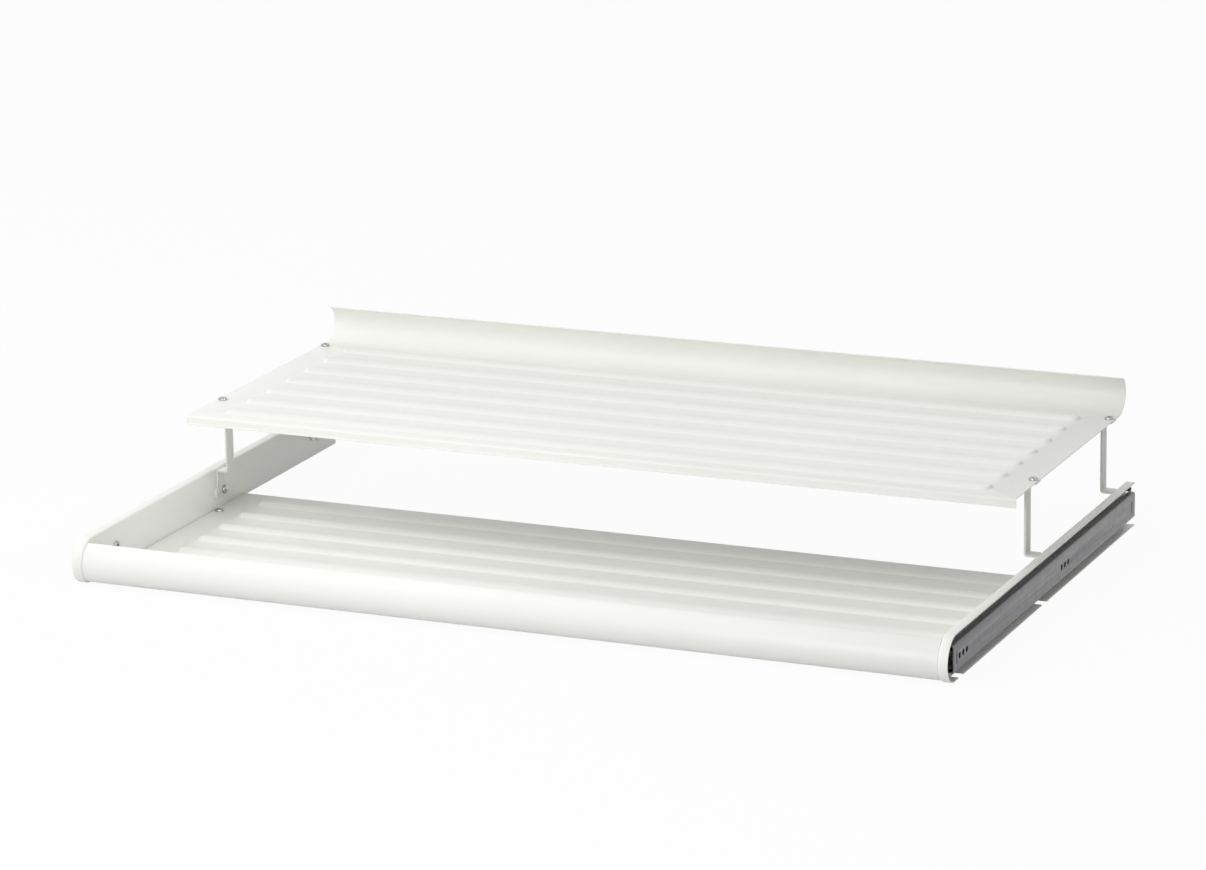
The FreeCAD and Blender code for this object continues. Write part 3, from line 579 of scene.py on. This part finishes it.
def ribbedSheet(name, shape):
    # the ribs' outlines first, each pressed up in rings, then the sheet round them
    half = ribShape["width"] / 2
    middle = shape["firstRib"]
    sheet = startPlate(name, (-shape["ribEnd"], middle - half, shape["top"]),
                       (shape["ribEnd"], middle + half, shape["top"]))
    bpy.ops.object.mode_set(mode="EDIT")
    bpy.ops.mesh.select_mode(type="VERT")
    bpy.ops.mesh.select_all(action="SELECT")
    bpy.ops.mesh.bevel(offset=half * almost, segments=ribShape["roundSteps"], affect="VERTICES")
    bpy.ops.mesh.select_all(action="SELECT")
    bpy.ops.mesh.remove_doubles(threshold=slack)
    pitch = (shape["lastRib"] - shape["firstRib"]) / (shape["ribs"] - 1)
    bpy.ops.mesh.select_all(action="SELECT")
    for _ in range(shape["ribs"] - 1):
        bpy.ops.mesh.duplicate_move(TRANSFORM_OT_translate={"value": (0, pitch, 0)})
    pick(sheet, "faces", lambda face: True)
    height = shape["top"]
    straightEnd = shape["ribEnd"] - half - 10 * slack
    for inwards, upwards in ribShape["rings"]:
        bpy.ops.mesh.inset(thickness=inwards * mm, depth=upwards * mm, use_individual=True)
        height += upwards * mm
        for side in (1, -1):
            # the ends of a rib are steeper than its sides
            pick(sheet, "verts", lambda vert: near(vert.co.z, height)
                 and vert.co.x * side > straightEnd)
            push = inwards * mm * ribShape["endPush"] * side
            bpy.ops.transform.translate(value=(push, 0, 0))
        pick(sheet, "faces", placed(lambda point: near(point.z, height)))
    # the flat sheet, with the ribs as holes in it
    bpy.ops.mesh.select_mode(type="VERT")
    bpy.ops.mesh.select_all(action="DESELECT")
    bpy.ops.mesh.primitive_plane_add(
        size=1, location=(0, (shape["front"] + shape["rear"]) / 2, shape["top"]))
    bpy.ops.transform.resize(
        value=(shape["right"] - shape["left"], shape["rear"] - shape["front"], 1),
        center_override=(0, (shape["front"] + shape["rear"]) / 2, shape["top"]))
    bpy.ops.mesh.delete(type="ONLY_FACE")
    pick(sheet, "edges", placed(lambda point: near(point.z, shape["top"])))
    bpy.ops.mesh.fill(use_beauty=True)
    return sheet


def finishShelf(sheet, node):
    finishEdit(sheet, (0, 0, 1))
    thicken(sheet, ribShape["wall"])
    roundEdges(sheet, ribShape["edge"])
    smooth(sheet)
    wear(sheet, whiteCoat, "tray", node)


def makeLowerShelf():
    sheet = ribbedSheet("lowerShelfSheet", lowerShelfShape)
    finishShelf(sheet, "lower_shelf")


def makeUpperShelf():
    shape = upperShelfShape
    sheet = ribbedSheet("upperShelfSheet", shape)
    top = shape["top"]
    # lip turned down in front, with a small hem at its foot
    bend = shape["lipBend"]
    pick(sheet, "edges", placed(lambda point: near(point.y, shape["front"])))
    sweepRound((0, shape["front"], top - bend), 90, shape["lipSteps"])
    small = shape["lipHemBend"]
    foot = shape["front"] - bend
    turn = top - shape["lipDrop"] + ribShape["wall"] + small
    extrudeEdges((0, 0, turn - (top - bend)))
    sweepRound((0, foot - small, turn), -90, shape["hemSteps"])
    extrudeEdges((0, small - shape["lipHem"], 0))
    # backstop curled up behind, with a tighter curl on top
    pick(sheet, "edges", placed(lambda point: near(point.y, shape["rear"])))
    low = shape["curlRadius"]
    level = top + low - ribShape["wall"]
    sweepRound((0, shape["rear"], level), 90, shape["curlSteps"])
    high = shape["curlTopRadius"]
    sweepRound((0, shape["rear"] + low - high, level), shape["curlTopSweep"],
               shape["curlTopSteps"])
    finishShelf(sheet, "upper_shelf")


makeLowerShelf()
makeUpperShelf()
print("shelves made")

railShape = {
    "halfLength": 452.5 * mm, "wall": 1.2 * mm, "rear": -241.2 * mm, "seat": 1.2 * mm,
    "lowCentre": (0, -267.2 * mm, 20 * mm), "highCentre": (0, -261.2 * mm, 20 * mm),
    "highRadius": 24.8 * mm, "sweep": 63, "hemLap": 12,
    "foldInset": 1.3 * mm,      # from the outer face of the hem to the middle of its fold
    "steps": {"low": 14, "high": 12, "fold": 8, "hem": 4}, "edge": 0.2 * mm,
}


def makeFrontRail():
    shape = railShape
    steps = shape["steps"]
    rail = startPlate("frontRailSheet", (-shape["halfLength"], shape["rear"], shape["seat"]),
                      (shape["halfLength"], shape["rear"], shape["seat"] + shape["wall"]))
    bpy.ops.object.mode_set(mode="EDIT")
    pick(rail, "faces", lambda face: True)
    extrudeFaces((0, shape["lowCentre"][1] - shape["rear"], 0))
    sweepRound(shape["lowCentre"], -90, steps["low"])
    sweepRound(shape["highCentre"], -shape["sweep"], steps["high"])
    end = math.radians(180 - shape["sweep"])
    reach = shape["highRadius"] - shape["foldInset"]
    fold = (0, shape["highCentre"][1] + reach * math.cos(end),
            shape["highCentre"][2] + reach * math.sin(end))
    sweepRound(fold, -180, steps["fold"])
    sweepRound(shape["highCentre"], shape["hemLap"], steps["hem"])
    finishEdit(rail)
    roundEdges(rail, shape["edge"])
    smooth(rail)
    wear(rail, whiteCoat, "tray", "front_rail")


makeFrontRail()
print("front rail made")

panelShape = {
    "front": -287.2 * mm, "rear": 283.1 * mm, "height": 46 * mm,
    "lowNose": 20 * mm, "highNose": 26 * mm, "noseSteps": 18,
    "web": -452.8 * mm, "edge": -463 * mm, "wall": 1.2 * mm, "bend": 2 * mm, "bendSteps": 5,
    "rounding": 0.2 * mm,
    # middle along Y and underside of each of the two tabs under the shelf
    "tabs": ((-248.7 * mm, 0), (-5.7 * mm, 1.2 * mm)),
    "tabWidth": 12 * mm, "tabEnd": -438.8 * mm, "tabCorner": 2.5 * mm, "tabSteps": 5,
    # notch in the lower flange at each tab, and how far it cuts past the wall and past the edges
    "notch": 14.5 * mm, "notchDepth": 0.05 * mm, "notchMargin": 2 * mm,
}


def makeSidePanel():
    shape = panelShape
    start = shape["web"] - shape["bend"]
    panel = startPlate("leftPanel", (start, shape["front"], 0),
                       (start, shape["rear"], shape["height"]))
    bpy.ops.object.mode_set(mode="EDIT")
    for height, radius in ((0, shape["lowNose"]), (shape["height"], shape["highNose"])):
        pick(panel, "verts", lambda vert: near(vert.co.y, shape["front"])
             and near(vert.co.z, height))
        bpy.ops.mesh.bevel(offset=radius * almost, segments=shape["noseSteps"],
                           affect="VERTICES")
    bpy.ops.mesh.select_all(action="SELECT")
    bpy.ops.mesh.remove_doubles(threshold=slack)      # the two rounds meet in one corner
    pick(panel, "edges", lambda edge: any(
        not near(vert.co.y, shape["rear"]) for vert in edge.verts))
    extrudeEdges((shape["edge"] - start, 0, 0))
    pick(panel, "faces", lambda face: abs(face.normal.x) > aligned)
    last = 0
    for step in range(1, shape["bendSteps"] + 1):
        angle = math.pi / 2 * step / shape["bendSteps"]
        inwards = shape["bend"] * (math.cos(last) - math.cos(angle))
        rise = shape["bend"] * (math.sin(angle) - math.sin(last))
        bpy.ops.mesh.inset(thickness=inwards, depth=rise, use_boundary=False)
        last = angle
    finishEdit(panel, (1, 0, 0))
    thicken(panel, shape["wall"])
    half = shape["notch"] / 2
    margin = shape["notchMargin"]
    cutHoles(panel, [
        addBlock("notch", (shape["edge"] - margin, middle - half, -margin),
                 (shape["web"] - shape["wall"], middle + half,
                  shape["wall"] + shape["notchDepth"]))
        for middle, _ in shape["tabs"]])
    roundEdges(panel, shape["rounding"])
    half = shape["tabWidth"] / 2
    tabs = [addBlock("tab", (shape["web"] - shape["wall"], middle - half, level),
                     (shape["tabEnd"], middle + half, level + shape["wall"]),
                     shape["tabCorner"], shape["tabSteps"])
            for middle, level in shape["tabs"]]
    return joinPieces("leftPanel", [panel] + tabs)


leftPanel = makeSidePanel()
rightPanel = copyPiece(leftPanel, "rightPanel", flip=True)
for panel, node in ((leftPanel, "left_side_panel"), (rightPanel, "right_side_panel")):
    smooth(panel)
    wear(panel, whiteCoat, "tray", node)
print("side panels made")

legShape = {
    "front": 3.1 * mm,
    "rearShift": 240 * mm,      # from the front pair to the rear pair
    "width": 15 * mm, "wall": 2 * mm, "bend": 2 * mm,       # bend at the middle of the sheet
    "seat": -451.8 * mm, "strut": -439.5 * mm, "bottom": 15.6 * mm, "jog": 43.8 * mm,
    "top": 118 * mm, "footEnd": -450.5 * mm, "bendSteps": 7,
    "beadHalf": 2.5 * mm, "beadLow": 54 * mm, "beadHigh": 108 * mm,
    "beadRings": [(0.5, 0.20), (0.7, 0.28), (0.7, 0.16), (0.4, 0.04)],
    "lugReach": 4 * mm, "lugTop": 26 * mm, "relief": 2.4 * mm, "edge": 0.3 * mm,
}


def makeLeg(name):
    # the front left one
    shape = legShape
    half = shape["wall"] / 2
    bend = shape["bend"]
    front = shape["front"]
    rear = front + shape["width"]
    leg = startPlate(name, (shape["seat"] - half, front, shape["bottom"]),
                     (shape["seat"] + half, rear, shape["bottom"]))
    bpy.ops.object.mode_set(mode="EDIT")
    pick(leg, "faces", lambda face: True)
    turnY = (0, 1, 0)
    extrudeFaces((0, 0, shape["jog"] - bend - shape["bottom"]))
    sweepRound((shape["seat"] + bend, 0, shape["jog"] - bend), 90, shape["bendSteps"], turnY)
    extrudeFaces((shape["strut"] - shape["seat"] - 2 * bend, 0, 0))
    sweepRound((shape["strut"] - bend, 0, shape["jog"] + bend), -90, shape["bendSteps"], turnY)
    extrudeFaces((0, 0, shape["top"] - shape["jog"] - 2 * bend))
    sweepRound((shape["strut"] - bend, 0, shape["top"] - bend), -90, shape["bendSteps"], turnY)
    extrudeFaces((shape["footEnd"] - shape["strut"] + bend, 0, 0))
    # the pressed bead, raised on the inner face and sunk in the outer one
    middle = (front + rear) / 2
    cuts = [((0, 1, 0), (0, middle - shape["beadHalf"], 0)),
            ((0, 1, 0), (0, middle + shape["beadHalf"], 0)),
            ((0, 0, 1), (0, 0, shape["beadLow"])), ((0, 0, 1), (0, 0, shape["beadHigh"]))]
    for normal, point in cuts:
        bpy.ops.mesh.select_all(action="SELECT")
        bpy.ops.mesh.bisect(plane_co=point, plane_no=normal)

    def onBead(point):
        return (abs(point.y - middle) < shape["beadHalf"] + slack
                and shape["beadLow"] - slack < point.z < shape["beadHigh"] + slack)

    for direction in (1, -1):
        pick(leg, "faces", turned((direction, 0, 0), onBead))
        for inwards, upwards in shape["beadRings"]:
            bpy.ops.mesh.inset(thickness=inwards * mm, depth=upwards * mm * direction)
    # a lug at the foot
    bpy.ops.mesh.select_all(action="SELECT")
    bpy.ops.mesh.bisect(plane_co=(0, 0, shape["lugTop"]), plane_no=(0, 0, 1))
    pick(leg, "faces", turned((0, -1, 0), lambda point: point.z < shape["lugTop"] + slack))
    extrudeFaces((0, -shape["lugReach"], 0))
    finishEdit(leg)
    # a small square hole above the lug
    relief = shape["relief"]
    wall = shape["wall"]
    hole = addBlock("relief", (shape["seat"] - wall, front + relief / 2,
                               shape["lugTop"] + relief / 2),
                    (shape["seat"] + wall, front + relief * 3 / 2,
                     shape["lugTop"] + relief * 3 / 2))
    cutHoles(leg, [hole])
    roundEdges(leg, shape["edge"])
    return leg


def placeLegs():
    model = makeLeg("legModel")
    for end, shift in (("front", 0), ("rear", legShape["rearShift"])):
        for side, flip in (("left", False), ("right", True)):
            leg = copyPiece(model, end + side.title() + "Leg", (0, shift, 0), flip=flip)
            smooth(leg)
            wear(leg, legShadedCoat, "tray", end + "_" + side + "_leg")
    removePiece(model)


placeLegs()
print("legs made")

screwShape = {
    "sides": 32, "headRise": 2.4 * mm,
    # radius and height of each ring of the head, from the flat round the recess down
    "rings": [(3.1, 2.40), (3.7, 2.27), (4.2, 1.98), (4.55, 1.50), (4.76, 0.90),
              (4.8, 0.35), (4.66, 0.0), (2.0, 0.0)],
    "armReach": 2.25 * mm, "armWidth": 1.15 * mm, "recessDepth": 1.5 * mm,
    "recessTaper": 0.72,    # floor of the recess against its mouth
    "shank": 2.0 * mm, "threadRoot": 1.72 * mm, "threadPitch": 0.8 * mm,
    "tipTaper": 0.8,
    "firstTurn": 20, "nextTurn": 37,        # degrees, so that no two recesses line up
    "shading": 38,
}


def makeScrew(name, grip):
    # a pan head with a cross recess, its seat at the origin and its shank pointing down
    shape = screwShape
    top = shape["headRise"]
    first = shape["rings"][0][0] * mm
    bpy.ops.object.select_all(action="DESELECT")
    bpy.ops.mesh.primitive_circle_add(vertices=shape["sides"], radius=first,
                                      location=(0, 0, top))
    screw = bpy.context.object
    screw.name = name
    bpy.ops.object.transform_apply(location=True, rotation=True, scale=True)
    bpy.ops.object.mode_set(mode="EDIT")
    # the head's rings and the threaded shank hang from the first ring
    pick(screw, "edges", lambda edge: True)
    radius, height = first, top
    for nextRadius, nextHeight in shape["rings"][1:]:
        extrudeRing(nextRadius * mm / radius, nextHeight * mm - height)
        radius, height = nextRadius * mm, nextHeight * mm
    turns = int(grip / shape["threadPitch"])
    for turn in range(turns * 2):
        nextRadius = shape["threadRoot"] if turn % 2 == 0 else shape["shank"]
        extrudeRing(nextRadius / radius, -shape["threadPitch"] / 2)
        radius, height = nextRadius, height - shape["threadPitch"] / 2
    extrudeRing(shape["tipTaper"], -(grip + height))
    bpy.ops.mesh.edge_face_add()
    # the cross recess
    bpy.ops.mesh.select_all(action="DESELECT")
    bpy.ops.mesh.primitive_plane_add(size=shape["armWidth"], location=(0, 0, top))
    halfArm = shape["armWidth"] / 2
    arm = shape["armReach"] - halfArm
    for x, y in ((1, 0), (-1, 0), (0, 1), (0, -1)):
        pick(screw, "edges", placed(lambda point: near(point.z, top)
             and near(point.x * x + point.y * y, halfArm)
             and abs(point.x * y + point.y * x) < halfArm + slack))
        extrudeEdges((arm * x, arm * y, 0))
    pick(screw, "edges", lambda edge: edge.is_boundary
         and all(near(vert.co.z, top) for vert in edge.verts))
    bpy.ops.mesh.fill(use_beauty=True)
    pick(screw, "faces", lambda face: len(face.verts) == 4 and near(face.calc_center_median().z, top)
         and face.calc_center_median().xy.length < shape["armReach"])
    extrudeFaces((0, 0, -shape["recessDepth"]))
    taper = shape["recessTaper"]
    bpy.ops.transform.resize(value=(taper, taper, 1), center_override=(0, 0, 0))
    finishEdit(screw)
    smooth(screw, shape["shading"])
    return screw


screwSets = {
    # CAD node: length under the head, seats on the left side in mm, and the way it points
    "upper_shelf_screws": (5.0 * mm, ((-445.3, 10.6, 120.0), (-445.3, 250.6, 120.0)), "down"),
    "lower_shelf_screws": (3.4 * mm, ((-445.3, -248.7, 3.4), (-445.3, -5.7, 3.4)), "down"),
    "leg_screws": (3.1 * mm, ((-450.8, 16.8, 20.5), (-450.8, 256.8, 20.5)), "outward"),
    "drawer_rail_screws": (4.2 * mm, ((-452.8, -214.9, 23.5), (-452.8, 227.1, 23.5)), "outward"),
}


def placeScrews(node, grip, seats, way):
    model = makeScrew("screwModel", grip)
    placedScrews = []
    for side in (1, -1):
        for x, y, z in seats:
            spin = screwShape["firstTurn"] + screwShape["nextTurn"] * len(placedScrews)
            twin = copyPiece(model, "screw", turn=(0, 0, math.radians(spin)))
            lean = (0, math.pi / 2 * side, 0) if way == "outward" else (0, 0, 0)
            placedScrews.append(copyPiece(twin, "screw", (x * side * mm, y * mm, z * mm), lean))
            removePiece(twin)
    removePiece(model)
    words = node.split("_")
    screws = joinPieces(words[0] + "".join(word.title() for word in words[1:]), placedScrews)
    wear(screws, screwDarkenedMetal, "tray", node)


for node, (grip, seats, way) in screwSets.items():
    placeScrews(node, grip, seats, way)
print("screws placed")

slideShape = {
    "centre": 23.5 * mm, "ballX": -458.9 * mm, "ballRise": 10 * mm, "ballRadius": 2 * mm,
    "race": 2.3 * mm, "wall": 1.2 * mm, "bend": 2 * mm, "bendSteps": 6, "lipSteps": 10,
    "edge": 0.15 * mm, "cutMargin": 0.5 * mm,
    "sink": 0.1 * mm,       # how far stops and tabs reach into the web
    "ballCuts": 6, "ballShading": 60, "shading": 40,
    "balls": [-57.7 * mm, -28.25 * mm, 1.2 * mm, 30.65 * mm, 60.1 * mm],
}
cabinetRailShape = {
    "outer": -464.5 * mm, "front": -273.5 * mm, "rear": 279.5 * mm, "halfHeight": 13.5 * mm,
    "lipSweep": 110, "hole": 3.15 * mm, "holeSides": 32,
    "holes": [-256.9 * mm, -246.9 * mm, -236.9 * mm, 43.1 * mm, 53.1 * mm, 63.1 * mm],
    # a stop turned in from the web, and the slit that it leaves: both as spans of Y
    "stops": [((-267.2 * mm, -266.0 * mm), (-266.0 * mm, -263.8 * mm)),
              ((269.9 * mm, 271.1 * mm), (267.7 * mm, 269.9 * mm))],
    "stopHalf": 6 * mm, "stopReach": 1.8 * mm, "stopCorner": 0.4 * mm,
}
drawerRailShape = {
    "inner": -454 * mm, "front": -274.5 * mm, "rear": 277.5 * mm, "cupSweep": 65,
    "tab": (268.4 * mm, 269.6 * mm), "slit": (266.8 * mm, 268.4 * mm), "tabHalf": 5.3 * mm,
    "tabEnd": -463.0 * mm, "screwHole": 2.1 * mm, "holeSides": 24,
    "screws": [-214.9 * mm, 227.1 * mm],
}
retainerShape = {
    "back": -463.0 * mm, "reach": -457.3 * mm, "wall": 0.5 * mm, "halfHeight": 10.25 * mm,
    "front": -65.7 * mm, "rear": 68.1 * mm, "notch": 2.15 * mm, "notchMargin": 1 * mm,
}


def sweepChannel(name, shape, start, wall, folds):
    # a strip of sheet, folded one step after another: ("run", x, z) or ("turn", x, z, degrees)
    x, z = start
    strip = startPlate(name, (x, shape["front"], z), (x, shape["rear"], z + wall))
    bpy.ops.object.mode_set(mode="EDIT")
    pick(strip, "faces", lambda face: True)
    for fold in folds:
        if fold[0] == "run":
            extrudeFaces((fold[1], 0, fold[2]))
        else:
            sweepRound((fold[1], 0, fold[2]), fold[3], slideShape["bendSteps"], (0, 1, 0))
    return strip


def foldLip(strip, x, low, wall, centre, degrees):
    # folds on from the face that the strip began with
    pick(strip, "faces", placed(lambda point: near(point.x, x)
                                and low - slack < point.z < low + wall + slack))
    sweepRound((centre[0], 0, centre[1]), degrees, slideShape["lipSteps"], (0, 1, 0))


def makeCabinetRail():
    shape = cabinetRailShape
    ballX, rise = slideShape["ballX"], slideShape["ballRise"]
    wall, bend, centre = slideShape["wall"], slideShape["bend"], slideShape["centre"]
    half = shape["halfHeight"]
    run = ballX - shape["outer"] - bend
    turnX = shape["outer"] + bend
    folds = [("run", -run, 0), ("turn", turnX, centre - half + bend, 90),
             ("run", 0, 2 * (half - bend)), ("turn", turnX, centre + half - bend, 90),
             ("run", run, 0), ("turn", ballX, centre + rise, shape["lipSweep"])]
    rail = sweepChannel("leftCabinetRail", shape, (ballX, centre - half), wall, folds)
    foldLip(rail, ballX, centre - half, wall, (ballX, centre - rise), -shape["lipSweep"])
    finishEdit(rail)
    margin = slideShape["cutMargin"]
    web = shape["outer"] + wall / 2
    cutters = [addRod("hole", (web, y, centre), shape["hole"], wall + 2 * margin,
                      shape["holeSides"]) for y in shape["holes"]]
    for _, (slitFront, slitRear) in shape["stops"]:
        cutters.append(addBlock(
            "slit", (shape["outer"] - margin, slitFront, centre - shape["stopHalf"]),
            (shape["outer"] + wall + margin, slitRear, centre + shape["stopHalf"])))
    cutHoles(rail, cutters)
    roundEdges(rail, slideShape["edge"])
    foot = shape["outer"] + wall
    stops = [addBlock("stop", (foot - slideShape["sink"], stopFront, centre - shape["stopHalf"]),
                      (foot + shape["stopReach"], stopRear, centre + shape["stopHalf"]),
                      shape["stopCorner"])
             for (stopFront, stopRear), _ in shape["stops"]]
    return joinPieces("leftCabinetRail", [rail] + stops)


def makeDrawerRail():
    shape = drawerRailShape
    ballX, rise, race = slideShape["ballX"], slideShape["ballRise"], slideShape["race"]
    wall, bend, centre = slideShape["wall"], slideShape["bend"], slideShape["centre"]
    flat = rise - race
    turnX = shape["inner"] - bend
    run = turnX - ballX
    folds = [("run", run, 0), ("turn", turnX, centre - flat + bend, -90),
             ("run", 0, 2 * (flat - bend)), ("turn", turnX, centre + flat - bend, -90),
             ("run", -run, 0), ("turn", ballX, centre + rise, shape["cupSweep"])]
    rail = sweepChannel("leftDrawerRail", shape, (ballX, centre - flat), wall, folds)
    foldLip(rail, ballX, centre - flat, wall, (ballX, centre - rise), -shape["cupSweep"])
    finishEdit(rail)
    margin = slideShape["cutMargin"]
    inner = shape["inner"] - wall
    cutters = [addRod("hole", (shape["inner"] - wall / 2, y, centre), shape["screwHole"],
                      wall + 2 * margin, shape["holeSides"]) for y in shape["screws"]]
    cutters.append(addBlock(
        "slit", (inner - margin, shape["slit"][0], centre - shape["tabHalf"]),
        (shape["inner"] + margin, shape["slit"][1], centre + shape["tabHalf"])))
    cutHoles(rail, cutters)
    roundEdges(rail, slideShape["edge"])
    tab = addBlock("tab", (shape["tabEnd"], shape["tab"][0], centre - shape["tabHalf"]),
                   (inner + slideShape["sink"], shape["tab"][1], centre + shape["tabHalf"]))
    return joinPieces("leftDrawerRail", [rail, tab])


def makeRetainer():
    shape = retainerShape
    wall, centre, half = shape["wall"], slideShape["centre"], shape["halfHeight"]
    turnX = shape["back"] + wall
    run = shape["reach"] - turnX
    folds = [("run", -run, 0), ("turn", turnX, centre - half + wall, 90),
             ("run", 0, 2 * (half - wall)), ("turn", turnX, centre + half - wall, 90),
             ("run", run, 0)]
    retainer = sweepChannel("leftRetainer", shape, (shape["reach"], centre - half), wall, folds)
    finishEdit(retainer)
    margin = shape["notchMargin"]
    notch = shape["notch"]
    cutHoles(retainer, [
        addBlock("notch", (slideShape["ballX"] - notch, y - notch, centre - half - margin),
                 (shape["reach"] + margin, y + notch, centre + half + margin))
        for y in slideShape["balls"]])
    return retainer


def makeBalls():
    # one ball, rounded from a divided block, then two rows of them
    bpy.ops.object.select_all(action="DESELECT")
    bpy.ops.mesh.primitive_cube_add(size=2 * slideShape["ballRadius"])
    ball = bpy.context.object
    bpy.ops.object.mode_set(mode="EDIT")
    bpy.ops.mesh.subdivide(number_cuts=slideShape["ballCuts"])
    bpy.ops.object.mode_set(mode="OBJECT")
    applyModifier(ball, "CAST", factor=1)
    ball.scale = [2 * slideShape["ballRadius"] / ball.dimensions.x] * 3
    bpy.ops.object.transform_apply(scale=True)
    smooth(ball, slideShape["ballShading"])
    balls = [copyPiece(ball, "ball", (slideShape["ballX"], y,
                                      slideShape["centre"] + slideShape["ballRise"] * row))
             for row in (-1, 1) for y in slideShape["balls"]]
    removePiece(ball)
    return joinPieces("leftBalls", balls)


plugShape = {
    "place": (-454 * mm, 277.8 * mm, 39.7 * mm), "sides": 28,
    # radius and height of each ring, from the dished middle out and down to the rivet
    "rings": [(0.9, 5.5), (1.1, 5.6), (1.25, 6.2), (1.5, 6.45), (1.95, 6.5), (2.25, 6.38),
              (2.4, 6.0), (2.4, 1.2), (2.2, 1.0), (2.2, 0.7), (2.4, 0.5), (2.4, 0.0),
              (1.5, 0.0), (1.5, -1.2)],
}


def makePlug():
    rings = plugShape["rings"]
    bpy.ops.object.select_all(action="DESELECT")
    bpy.ops.mesh.primitive_circle_add(vertices=plugShape["sides"], radius=rings[0][0] * mm,
                                      location=(0, 0, rings[0][1] * mm))
    plug = bpy.context.object
    bpy.ops.object.transform_apply(location=True, rotation=True, scale=True)
    bpy.ops.object.mode_set(mode="EDIT")
    pick(plug, "edges", lambda edge: True)
    for (radius, height), (nextRadius, nextHeight) in zip(rings, rings[1:]):
        extrudeRing(nextRadius / radius, (nextHeight - height) * mm)
    bpy.ops.mesh.edge_face_add()
    pick(plug, "edges", placed(lambda point: near(point.z, rings[0][1] * mm)))
    bpy.ops.mesh.edge_face_add()
    finishEdit(plug)
    smooth(plug, slideShape["shading"])
    placedPlug = copyPiece(plug, "leftPlug", plugShape["place"], (0, -math.pi / 2, 0))
    removePiece(plug)
    return placedPlug


def addPair(make, name, material, nodeEnd, bodies):
    # the left piece, and its twin on the right
    left = make()
    right = copyPiece(left, "right" + name, flip=True)
    for piece, side in ((left, "left"), (right, "right")):
        smooth(piece, slideShape["shading"])
        wear(piece, material, bodies.format(side), side + nodeEnd)


addPair(makeCabinetRail, "CabinetRail", slideShadedZinc, "_cabinet_rail",
        "cabinet_rails")
addPair(makeDrawerRail, "DrawerRail", slideShadedZinc, "_drawer_rail", "tray")
addPair(makeRetainer, "Retainer", retainerZinc, "_ball_retainer",
        "{}_retainer")
addPair(makeBalls, "Balls", ballMetal, "_bearing_balls", "{}_retainer")
addPair(makePlug, "Plug", plugPlastic, "_guide_plug", "tray")
print("slides made")
